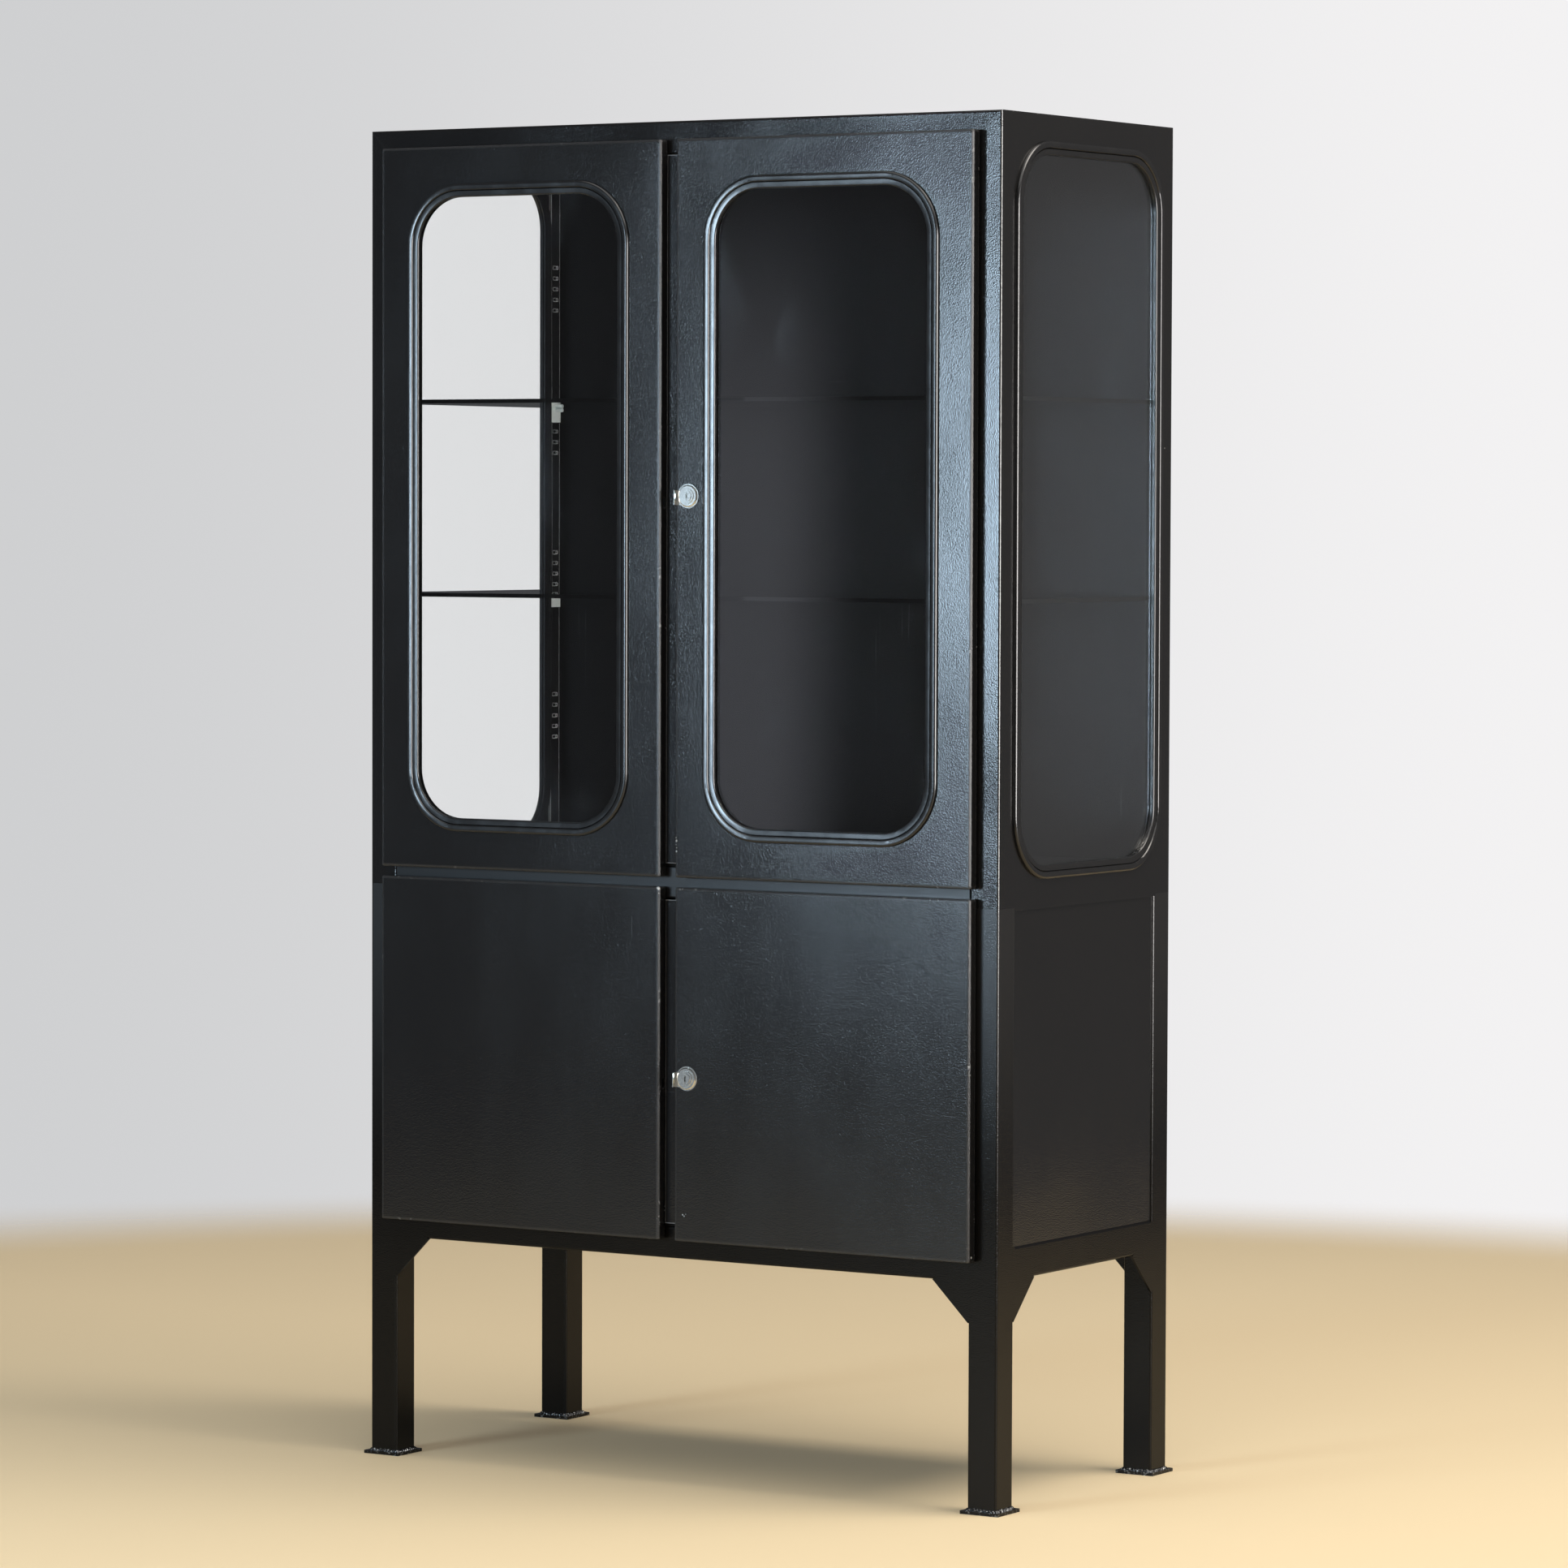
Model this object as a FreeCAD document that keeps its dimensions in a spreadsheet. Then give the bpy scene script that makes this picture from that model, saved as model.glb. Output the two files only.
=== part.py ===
import FreeCAD, Part
import Sketcher
import math
import os

# A glazed steel medical cabinet: a welded stand of square tube, a case of folded sheet, four overlay doors on
# concealed pins, a lock on each right-hand door, and glass shelves on slotted rails.
# X runs across the front, Y from the front to the back, Z up. Lengths are in millimetres.

V = FreeCAD.Vector
doc = FreeCAD.newDocument("medical_cabinet")
sheet = doc.addObject("Spreadsheet::Sheet", "sizes")


class Length:
    """A length as the sheet's expression together with its value."""

    def __init__(self, text, value):
        self.text = text
        self.value = value

    def __add__(self, other):
        return Length(f"({self.text} + {other.text})", self.value + other.value)

    def __sub__(self, other):
        return Length(f"({self.text} - {other.text})", self.value - other.value)

    def __mul__(self, factor):
        return Length(f"({self.text} * {factor!r})", self.value * factor)

    def __truediv__(self, divisor):
        return Length(f"({self.text} / {divisor!r})", self.value / divisor)

    def __neg__(self):
        return self * -1


ZERO = Length("0", 0)


def size(alias, value):
    """One driving dimension: a plain number in the sheet under its alias."""
    row = len(sheet.getUsedCells()) // 2 + 1
    sheet.set(f"A{row}", alias)
    sheet.set(f"B{row}", str(value))
    sheet.setAlias(f"B{row}", alias)
    return Length(f"sizes.{alias}", value)


# Case and stand
case_width = size("case_width", 920)
case_depth = size("case_depth", 422)
case_height = size("case_height", 1675)
tube_size = size("tube_size", 40)
tube_wall = size("tube_wall", 2)
tube_corner = size("tube_corner", 3)
foot_overhang = size("foot_overhang", 6.3)
foot_thick = size("foot_thick", 4)
skirt_height = size("skirt_height", 279)
middle_height = size("middle_height", 723)
gusset_reach = size("gusset_reach", 50)
gusset_thick = size("gusset_thick", 3)
side_rail = size("side_rail", 30)
case_sheet = size("case_sheet", 2)
case_bend = size("case_bend", 3)
stile_return = size("stile_return", 12)
rear_flange = size("rear_flange", 24)
back_sheet = size("back_sheet", 1.5)
side_recess = size("side_recess", 2.5)
sheet_play = size("sheet_play", 0.5)
overrun = size("overrun", 5)

# Doors
door_gap = size("door_gap", 4)
door_depth = size("door_depth", 14)
door_sheet = size("door_sheet", 1.5)
door_bend = size("door_bend", 2.5)
door_side_margin = size("door_side_margin", 29)
door_centre_gap = size("door_centre_gap", 23)
door_top_margin = size("door_top_margin", 23)
door_bottom_margin = size("door_bottom_margin", 24)
door_split = size("door_split", 12)
strip_reach = size("strip_reach", 22.7)
strip_thick = size("strip_thick", 2)
strip_edge = size("strip_edge", 0.9)
strip_play = size("strip_play", 1.5)

# Windows: a rubber seal with two beads outside grips the sheet and the pane
window_left = size("window_left", 41)
window_right = size("window_right", 46.5)
window_end = size("window_end", 46.8)
window_radius = size("window_radius", 78)
side_window_front = size("side_window_front", 33)
side_window_rear = size("side_window_rear", 29)
side_window_top = size("side_window_top", 32)
side_window_bottom = size("side_window_bottom", 35)
seal_wide = size("seal_wide", 16.4)
bead_proud = size("bead_proud", 4.5)
bead_flank = size("bead_flank", 2.8)
bead_crest = size("bead_crest", 4.4)
bead_fall = size("bead_fall", 0.4)
bead_flank_round = size("bead_flank_round", 3.2)
bead_crest_round = size("bead_crest_round", 16)
groove_at = size("groove_at", 8.6)
groove_proud = size("groove_proud", 1.4)
lip_rise = size("lip_rise", 0.8)
lip_proud = size("lip_proud", 2.7)
lip_crest = size("lip_crest", 5.6)
lip_fall = size("lip_fall", 0.45)
lip_crest_round = size("lip_crest_round", 30)
lip_edge_proud = size("lip_edge_proud", 0.6)
lip_edge_round = size("lip_edge_round", 1.8)
seal_grip = size("seal_grip", 5)
seal_back_inset = size("seal_back_inset", 1.5)
seal_depth = size("seal_depth", 9)
glass_thick = size("glass_thick", 4)
glass_set = size("glass_set", 3)
glass_grip = size("glass_grip", 6)
glass_play = size("glass_play", 0.2)

# Hinges
pin_radius = size("pin_radius", 2.5)
pin_play = size("pin_play", 0.05)
pin_inset = size("pin_inset", 7)
pin_back = size("pin_back", 7.5)
eye_radius = size("eye_radius", 4)
arm_thick = size("arm_thick", 4)
arm_height = size("arm_height", 20)
arm_neck = size("arm_neck", 16)
arm_foot_thick = size("arm_foot_thick", 3)
arm_foot_reach = size("arm_foot_reach", 11)
leaf_reach = size("leaf_reach", 13.5)
leaf_depth = size("leaf_depth", 10.5)
leaf_wall = size("leaf_wall", 1)
lug_thick = size("lug_thick", 3)
lug_play = size("lug_play", 0.3)
upper_hinge_inset = size("upper_hinge_inset", 110)
lower_hinge_inset = size("lower_hinge_inset", 80)

# Locks
lock_inset = size("lock_inset", 18.5)
upper_lock_height = size("upper_lock_height", 1217)
lower_lock_height = size("lower_lock_height", 504)
rosette_radius = size("rosette_radius", 13.5)
rosette_thick = size("rosette_thick", 3)
rosette_step = size("rosette_step", 1.2)
rosette_ring = size("rosette_ring", 2.6)
barrel_radius = size("barrel_radius", 9)
barrel_play = size("barrel_play", 0.2)
pull_thick = size("pull_thick", 1)
pull_edge = size("pull_edge", 1.5)
pull_lip_out = size("pull_lip_out", 7)
pull_lip_tall = size("pull_lip_tall", 18)
pull_lip_drop = size("pull_lip_drop", 2)
plug_radius = size("plug_radius", 6.5)
plug_play = size("plug_play", 0.05)
plug_proud = size("plug_proud", 0.8)
key_slot_tall = size("key_slot_tall", 7.5)
key_slot_wide = size("key_slot_wide", 1.6)
key_slot_deep = size("key_slot_deep", 8)
journal_radius = size("journal_radius", 2.5)
lock_case_left = size("lock_case_left", 15)
lock_case_right = size("lock_case_right", 22.5)
lock_case_top = size("lock_case_top", 14)
lock_case_wall = size("lock_case_wall", 2)
lock_case_depth = size("lock_case_depth", 15)
pitch_radius = size("pitch_radius", 4.6)
tooth_above = size("tooth_above", 0.7)
tooth_below = size("tooth_below", 1.0)
tooth_tip = size("tooth_tip", 0.7)
tooth_root = size("tooth_root", 1.15)
bolt_back = size("bolt_back", 9)
bolt_thick = size("bolt_thick", 3.5)
bolt_tall = size("bolt_tall", 7.5)
bolt_length = size("bolt_length", 49)
bolt_tip_set = size("bolt_tip_set", 0.4)
bolt_play = size("bolt_play", 0.3)
strike_play = size("strike_play", 1)
PINION_TEETH = 10

# Slide bolts inside the left-hand doors
slide_inset = size("slide_inset", 15.5)
slide_wide = size("slide_wide", 10)
slide_thick = size("slide_thick", 4)
slide_long = size("slide_long", 80)
slide_back = size("slide_back", 3)
slide_stop = size("slide_stop", 3)
slide_play = size("slide_play", 0.3)
guide_wall = size("guide_wall", 2)
guide_tall = size("guide_tall", 30)
guide_drop = size("guide_drop", 20)
knob_radius = size("knob_radius", 4)
knob_out = size("knob_out", 9)
knob_rise = size("knob_rise", 8)

# Shelves
rail_wide = size("rail_wide", 20)
rail_thick = size("rail_thick", 3)
rail_clear = size("rail_clear", 1)
rail_low = size("rail_low", 8)
rail_top = size("rail_top", 5)
slot_wide = size("slot_wide", 11)
slot_tall = size("slot_tall", 3.5)
slot_pitch = size("slot_pitch", 14)
first_slot_up = size("first_slot_up", 127)
last_slot_down = size("last_slot_down", 113)
peg_radius = size("peg_radius", 2.5)
peg_long = size("peg_long", 10)
clip_plate_thick = size("clip_plate_thick", 1.5)
clip_plate_above = size("clip_plate_above", 5)
clip_plate_below = size("clip_plate_below", 16)
clip_play = size("clip_play", 0.2)
shelf_thick = size("shelf_thick", 5)
shelf_end_play = size("shelf_end_play", 1)
shelf_front = size("shelf_front", 4)
shelf_back = size("shelf_back", 6)
shelf_seat = size("shelf_seat", 0.05)
SLOT_GROUPS = 4
SLOTS_IN_GROUP = 5

# Places that several pieces share. The frame's front plane is at Y = 0 here, and the whole cabinet is then
# moved so that its origin is under the middle of its box, between the pull lips and the rear foot plates.
half_width = case_width / 2
opening_half = half_width - tube_size
front_reach = door_gap + door_depth + pull_thick + pull_lip_out
front_y = (front_reach - case_depth - foot_overhang) / 2
inner_half = half_width - case_sheet
inner_bend = case_bend - case_sheet
back_y = case_depth - case_sheet - back_sheet
deck_top = middle_height + tube_size + case_sheet
middle_centre = (middle_height + deck_top) / 2
floor_top = skirt_height + tube_size + case_sheet
opening_top = case_height - tube_size
door_face = door_gap + door_depth
door_outer = half_width - door_side_margin
door_inner = door_centre_gap / 2
door_width = door_outer - door_inner
door_middle = (door_outer + door_inner) / 2
upper_low = middle_centre + door_split / 2
upper_high = case_height - door_top_margin
lower_low = skirt_height + door_bottom_margin
lower_high = middle_centre - door_split / 2
hinge_x = door_outer - pin_inset
hinge_y = -(door_gap + pin_back)
lock_x = door_inner + lock_inset
pitch_step = pitch_radius * (2 * math.pi / PINION_TEETH)

doc.recompute()
nodes = []


def keep(made, label):
    """Name a finished sub-part and list it for export."""
    made.Label = label
    nodes.append(made)
    return made


def place(made, x, y, z, turn=0):
    """Put an object at x, y, z of the case, turned about the vertical by an angle in degrees."""
    made.Placement = FreeCAD.Placement(V(), FreeCAD.Rotation(V(0, 0, 1), turn))
    for axis, length in (("x", x), ("y", y + front_y), ("z", z)):
        made.setExpression(f"Placement.Base.{axis}", length.text)
    return made


def mirrored(side, low, high):
    """The span from low to high on the right, or its mirror image on the left."""
    return (low, high) if side > 0 else (-high, -low)


def box(x_span, y_span, z_span):
    made = doc.addObject("Part::Box", "block")
    for name, span in (("Length", x_span), ("Width", y_span), ("Height", z_span)):
        made.setExpression(name, (span[1] - span[0]).text)
    return place(made, x_span[0], y_span[0], z_span[0])


def cylinder(radius, length, x, y, z, axis=V(0, 0, 1)):
    made = doc.addObject("Part::Cylinder", "round")
    made.setExpression("Radius", radius.text)
    made.setExpression("Height", length.text)
    place(made, x, y, z)
    made.Placement.Rotation = FreeCAD.Rotation(V(0, 0, 1), axis)
    return made


def cut(base, tool):
    made = doc.addObject("Part::Cut", "cut")
    made.Base = base
    made.Tool = tool
    return made


def fuse(pieces):
    made = doc.addObject("Part::MultiFuse", "fused")
    made.Shapes = pieces
    return made


def group(pieces):
    made = doc.addObject("Part::Compound", "group")
    made.Links = pieces
    return made


def new_body(name):
    return doc.addObject("PartDesign::Body", name)


def sketch(body, plane, lift=None):
    """A sketch on one of the body's own planes, lifted along that plane's normal."""
    made = body.newObject("Sketcher::SketchObject", body.Name + "_sketch")
    support = next(item for item in body.Origin.OriginFeatures if item.Role == plane + "_Plane")
    made.AttachmentSupport = [(support, "")]
    made.MapMode = "FlatFace"
    if lift is not None:
        made.setExpression("AttachmentOffset.Base.z", lift.text)
    return made


def pin_point(made, geometry, point, x, y):
    """Fix a sketch point at x, y, with both distances bound to the sheet."""
    for kind, length, axis in (("DistanceX", x, -2), ("DistanceY", y, -1)):
        if length is ZERO:
            made.addConstraint(Sketcher.Constraint("PointOnObject", geometry, point, axis))
            continue
        index = made.addConstraint(Sketcher.Constraint(kind, -1, 1, geometry, point, length.value))
        made.setExpression(f"Constraints[{index}]", length.text)


def outline(made, points):
    """A closed outline of straight lines through the points."""
    first = made.GeometryCount
    count = len(points)
    for index, (x, y) in enumerate(points):
        next_x, next_y = points[(index + 1) % count]
        line = Part.LineSegment(V(x.value, y.value, 0), V(next_x.value, next_y.value, 0))
        made.addGeometry(line)
    for index in range(count):
        after = first + (index + 1) % count
        made.addConstraint(Sketcher.Constraint("Coincident", first + index, 2, after, 1))
    for index, (x, y) in enumerate(points):
        pin_point(made, first + index, 1, x, y)
    return made


def rectangle(made, x_span, y_span):
    corners = [(x_span[0], y_span[0]), (x_span[1], y_span[0]), (x_span[1], y_span[1]), (x_span[0], y_span[1])]
    return outline(made, corners)


def rounded(made, x_span, y_span, radius):
    """A rectangle whose corners are tangent arcs of one radius."""
    first = made.GeometryCount
    (x0, x1), (y0, y1) = x_span, y_span
    r = radius.value
    a, b, c, d = x0.value, x1.value, y0.value, y1.value
    lines = [((a + r, c), (b - r, c)), ((b, c + r), (b, d - r)), ((b - r, d), (a + r, d)),
             ((a, d - r), (a, c + r))]
    for start, end in lines:
        made.addGeometry(Part.LineSegment(V(*start, 0), V(*end, 0)))
    corners = [((b - r, c + r), 270), ((b - r, d - r), 0), ((a + r, d - r), 90), ((a + r, c + r), 180)]
    for centre, angle in corners:
        circle = Part.Circle(V(*centre, 0), V(0, 0, 1), r)
        made.addGeometry(Part.ArcOfCircle(circle, math.radians(angle), math.radians(angle + 90)))
    for index in range(4):
        line, arc, after = first + index, first + 4 + index, first + (index + 1) % 4
        made.addConstraint(Sketcher.Constraint("Tangent", line, 2, arc, 1))
        made.addConstraint(Sketcher.Constraint("Tangent", arc, 2, after, 1))
        if index:
            made.addConstraint(Sketcher.Constraint("Equal", first + 4, arc))
    made.addConstraint(Sketcher.Constraint("Horizontal", first))
    made.addConstraint(Sketcher.Constraint("Vertical", first + 1))
    made.addConstraint(Sketcher.Constraint("Horizontal", first + 2))
    made.addConstraint(Sketcher.Constraint("Vertical", first + 3))
    edges = [("DistanceY", y0, first), ("DistanceX", x1, first + 1), ("DistanceY", y1, first + 2),
             ("DistanceX", x0, first + 3)]
    for kind, length, line in edges:
        index = made.addConstraint(Sketcher.Constraint(kind, -1, 1, line, 1, length.value))
        made.setExpression(f"Constraints[{index}]", length.text)
    index = made.addConstraint(Sketcher.Constraint("Radius", first + 4, r))
    made.setExpression(f"Constraints[{index}]", radius.text)
    return made


def section(made, points, rounds):
    """A closed section through the points, straight but for the stretches that rounds gives a radius."""
    count = len(points)
    begins, ends = [], []
    for index, (x, y) in enumerate(points):
        next_x, next_y = points[(index + 1) % count]
        start, end = V(x.value, y.value, 0), V(next_x.value, next_y.value, 0)
        if index not in rounds:
            stretch = made.addGeometry(Part.LineSegment(start, end))
            begins.append((stretch, 1))
            ends.append((stretch, 2))
            continue
        radius = rounds[index]
        half = (end - start) / 2
        rise = math.sqrt(radius.value ** 2 - half.Length ** 2)
        centre = start + half + V(half.y, -half.x, 0).normalize() * rise
        angles = [math.atan2((point - centre).y, (point - centre).x) for point in (end, start)]
        arc = Part.ArcOfCircle(Part.Circle(centre, V(0, 0, 1), radius.value), *angles)
        stretch = made.addGeometry(arc)
        begins.append((stretch, 2))
        ends.append((stretch, 1))
        bound = made.addConstraint(Sketcher.Constraint("Radius", stretch, radius.value))
        made.setExpression(f"Constraints[{bound}]", radius.text)
    for index, (x, y) in enumerate(points):
        made.addConstraint(Sketcher.Constraint("Coincident", *ends[index - 1], *begins[index]))
        pin_point(made, *begins[index], x, y)
    return made


def circle(made, x, y, radius):
    index = made.addGeometry(Part.Circle(V(x.value, y.value, 0), V(0, 0, 1), radius.value))
    pin_point(made, index, 3, x, y)
    constraint = made.addConstraint(Sketcher.Constraint("Radius", index, radius.value))
    made.setExpression(f"Constraints[{constraint}]", radius.text)
    return made


def pad(body, profile, length, backwards=False):
    made = body.newObject("PartDesign::Pad", body.Name + "_pad")
    made.Profile = profile
    made.setExpression("Length", length.text)
    made.Reversed = backwards
    return made


def pocket(body, profile, length=None, forwards=False):
    """Cut against the sketch's normal, or along it, to a depth or right through."""
    made = body.newObject("PartDesign::Pocket", body.Name + "_pocket")
    made.Profile = profile
    if length is None:
        made.Type = "ThroughAll"
    else:
        made.setExpression("Length", length.text)
    made.Reversed = forwards
    return made


def sweep(body, profile, path):
    """A section carried once round a closed path."""
    made = body.newObject("PartDesign::AdditivePipe", body.Name + "_sweep")
    made.Profile = profile
    made.Spine = (path, [f"Edge{index + 1}" for index in range(path.GeometryCount)])
    return made


def revolve(body, profile):
    """A full turn about the sketch's upright axis."""
    made = body.newObject("PartDesign::Revolution", body.Name + "_revolution")
    made.Profile = profile
    made.ReferenceAxis = (profile, ["V_Axis"])
    return made


def fillet(body, base, radius, chosen):
    """Round the edges of a feature that the test picks by their end points."""
    doc.recompute()
    names = []
    for index, edge in enumerate(base.Shape.Edges):
        if chosen([vertex.Point for vertex in edge.Vertexes]):
            names.append(f"Edge{index + 1}")
    made = body.newObject("PartDesign::Fillet", body.Name + "_fillet")
    made.Base = (base, names)
    made.setExpression("Radius", radius.text)
    return made


def near(value, length):
    return abs(value - length.value) < 1e-4


def tube(label, plane, x_span, y_span, z_span):
    """Square tube along the normal of its section's plane, with rounded corners and a wall all round."""
    body = new_body(label)
    spans = {"X": x_span, "Y": y_span, "Z": z_span}
    across, upright = (spans[axis][1] - spans[axis][0] for axis in plane)
    section = sketch(body, plane)
    rounded(section, (ZERO, across), (ZERO, upright), tube_corner)
    inside = tube_corner - tube_wall
    rounded(section, (tube_wall, across - tube_wall), (tube_wall, upright - tube_wall), inside)
    run = next(spans[axis] for axis in "XYZ" if axis not in plane)
    pad(body, section, run[1] - run[0], backwards=plane == "XZ")
    place(body, x_span[0], y_span[0], z_span[0])
    return keep(body, label)


# Stand: legs on foot plates, bottom rails and middle rails, all of square tube, with gussets under the
# bottom rails
SIDES = (("left", -1), ("right", 1))
front_span = (ZERO, tube_size)
rear_span = (case_depth - tube_size, case_depth)
between_legs = (-opening_half, opening_half)
between_deep = (tube_size, case_depth - tube_size)
leg_span = (foot_thick, middle_height)
skirt_span = (skirt_height, skirt_height + tube_size)
plates = []
for side_name, side in SIDES:
    across = mirrored(side, opening_half, half_width)
    for row_name, deep in (("front", front_span), ("rear", rear_span)):
        tube(f"leg_{row_name}_{side_name}", "XY", across, deep, leg_span)
        foot_x = (across[0] - foot_overhang, across[1] + foot_overhang)
        foot_y = (deep[0] - foot_overhang, deep[1] + foot_overhang)
        plates.append(box(foot_x, foot_y, (ZERO, foot_thick)))
    tube(f"bottom_rail_{side_name}", "XZ", across, between_deep, skirt_span)
keep(group(plates), "foot_plates")
tube("bottom_rail_front", "YZ", between_legs, front_span, skirt_span)
tube("bottom_rail_rear", "YZ", between_legs, rear_span, skirt_span)

middle_span = (middle_height, middle_height + tube_size)
middle_rail_front = tube("middle_rail_front", "YZ", between_legs, front_span, middle_span)
side_rail_half = inner_half - side_rail
tube("middle_rail_rear", "YZ", (-side_rail_half, side_rail_half), (back_y - tube_size, back_y), middle_span)
side_middle_span = (middle_height, middle_height + side_rail)
for side_name, side in SIDES:
    across = mirrored(side, side_rail_half, inner_half)
    tube(f"middle_rail_{side_name}", "XZ", across, (stile_return, back_y), side_middle_span)


def gusset(plane, x, y, direction):
    """A right-angled plate in the corner between a leg and the rail above it."""
    body = new_body("gusset")
    reach = gusset_reach * direction
    corners = [(ZERO, ZERO), (reach, ZERO), (ZERO, -gusset_reach)]
    pad(body, outline(sketch(body, plane), corners), gusset_thick, backwards=plane == "XZ")
    return place(body, x, y, skirt_height)


gussets = []
for side_name, side in SIDES:
    for y in (ZERO, case_depth - gusset_thick):
        gussets.append(gusset("XZ", opening_half * side, y, -side))
    plate_x = mirrored(side, half_width - gusset_thick, half_width)[0]
    gussets.append(gusset("YZ", plate_x, tube_size, 1))
    gussets.append(gusset("YZ", plate_x, case_depth - tube_size, -1))
keep(group(gussets), "gussets")


# Case: side sheets folded round at the front into the stiles, and a top sheet folded down into the top rail,
# mitred together at the corners
mitre = tube_size + overrun


def folded(body, plane, corners, bends, run):
    """Sheet folded along straight bends: outer bends at the first listed corners, inner ones at the rest."""
    base = pad(body, outline(sketch(body, plane), corners), run)
    pick = {"XY": (0, 1), "YZ": (1, 2)}[plane]
    for places, radius in ((bends[0], case_bend), (bends[1], inner_bend)):
        def chosen(points, places=places):
            return any(all(near(p[pick[0]], u) and near(p[pick[1]], v) for p in points) for u, v in places)
        base = fillet(body, base, radius, chosen)
    return base


def side_sheet(side_name, side):
    """Side of the glazed part: a web with its window, the stile, a return behind it and a rear flange."""
    body = new_body(f"side_sheet_{side_name}")
    tall = case_height - middle_height
    web_out, web_in = half_width * side, inner_half * side
    stile_out, stile_in = opening_half * side, (opening_half + case_sheet) * side
    flange_end = (half_width - rear_flange) * side
    rear_in = case_depth - case_sheet
    corners = [
        (stile_out, stile_return), (stile_out, ZERO), (web_out, ZERO), (web_out, case_depth),
        (flange_end, case_depth), (flange_end, rear_in), (web_in, rear_in), (web_in, case_sheet),
        (stile_in, case_sheet), (stile_in, stile_return),
    ]
    folded(body, "XY", corners, (corners[1:4], corners[6:9]), tall)
    slope = [(web_out + overrun * side, tall + overrun), (web_out - mitre * side, tall - mitre),
             (web_out - mitre * side, tall + overrun)]
    pocket(body, outline(sketch(body, "XZ"), slope))
    hole_y = (side_window_front + seal_grip, case_depth - side_window_rear - seal_grip)
    hole_z = (side_window_bottom + seal_grip, tall - side_window_top - seal_grip)
    hole = rounded(sketch(body, "YZ"), hole_y, hole_z, window_radius - seal_grip)
    pocket(body, hole, forwards=side > 0)
    place(body, ZERO, ZERO, middle_height)
    return keep(body, body.Name)


for side_name, side in SIDES:
    side_sheet(side_name, side)

slide_middle = -(door_inner + door_sheet + slide_inset)
slide_x = (slide_middle - slide_wide / 2, slide_middle + slide_wide / 2)
slide_y = (slide_back, slide_back + slide_thick)
strike_x = (slide_x[0] - slide_play, slide_x[1] + slide_play)
strike_y = (slide_y[0] - slide_play, slide_y[1] + slide_play)


def top_sheet():
    """Top of the case: a web, the top rail folded down in front with its return, and a rear flange."""
    body = new_body("top_sheet")
    rear_in = case_depth - case_sheet
    corners = [
        (stile_return, -tube_size), (ZERO, -tube_size), (ZERO, ZERO), (case_depth, ZERO),
        (case_depth, -rear_flange), (rear_in, -rear_flange), (rear_in, -case_sheet),
        (case_sheet, -case_sheet), (case_sheet, case_sheet - tube_size),
        (stile_return, case_sheet - tube_size),
    ]
    folded(body, "YZ", corners, (corners[1:4], corners[6:9]), case_width)
    ends = sketch(body, "XZ")
    outline(ends, [(-overrun, overrun), (-overrun, -mitre), (mitre, -mitre)])
    past_end = case_width + overrun
    outline(ends, [(past_end, overrun), (past_end, -mitre), (case_width - mitre, -mitre)])
    pocket(body, ends)
    strike = rectangle(sketch(body, "XY", -tube_size), [x + half_width for x in strike_x], strike_y)
    pocket(body, strike, case_sheet, forwards=True)
    place(body, -half_width, ZERO, case_height)
    return keep(body, "top_sheet")


top_sheet()
strike = rectangle(sketch(middle_rail_front, "XY"), [x + opening_half for x in strike_x], strike_y)
pocket(middle_rail_front, strike, tube_wall, forwards=True)

back_half = inner_half - inner_bend - sheet_play
back_span = (back_y, back_y + back_sheet)
upper_back_span = (middle_height, case_height - case_sheet - inner_bend - sheet_play)
keep(box((-back_half, back_half), back_span, upper_back_span), "back_sheet_upper")
keep(box(between_legs, back_span, (floor_top, middle_height)), "back_sheet_lower")
for side_name, side in SIDES:
    across = mirrored(side, half_width - side_recess - back_sheet, half_width - side_recess)
    lower_side_span = (skirt_height + tube_size, middle_height)
    keep(box(across, between_deep, lower_side_span), f"lower_side_sheet_{side_name}")

floor_half = half_width - side_recess - back_sheet - sheet_play
floor_body = new_body("floor_sheet")
floor_corners = [
    (-opening_half, ZERO), (opening_half, ZERO), (opening_half, tube_size), (floor_half, tube_size),
    (floor_half, case_depth - tube_size), (opening_half, case_depth - tube_size), (opening_half, case_depth),
    (-opening_half, case_depth), (-opening_half, case_depth - tube_size),
    (-floor_half, case_depth - tube_size), (-floor_half, tube_size), (-opening_half, tube_size),
]
pad(floor_body, outline(sketch(floor_body, "XY"), floor_corners), case_sheet)
keep(place(floor_body, ZERO, ZERO, skirt_height + tube_size), "floor_sheet")

deck_half = half_width - seal_depth - shelf_end_play
deck_body = new_body("deck")
deck_front = stile_return + rail_clear
deck_corners = [
    (-opening_half, ZERO), (opening_half, ZERO), (opening_half, deck_front), (deck_half, deck_front),
    (deck_half, back_y), (-deck_half, back_y), (-deck_half, deck_front), (-opening_half, deck_front),
]
pad(deck_body, outline(sketch(deck_body, "XY"), deck_corners), case_sheet)
edges = sketch(deck_body, "XY")
for side_name, side in SIDES:
    rectangle(edges, mirrored(side, deck_half - case_sheet, deck_half), (deck_front, back_y))
pad(deck_body, edges, tube_size - side_rail, backwards=True)
keep(place(deck_body, ZERO, ZERO, middle_height + tube_size), "deck")


# Glazing: a rubber seal with two beads outside, a groove for the sheet's edge and one for the pane
def inset(span, amount):
    return (span[0] + amount, span[1] - amount)


pane_edge = seal_wide - glass_grip


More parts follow.
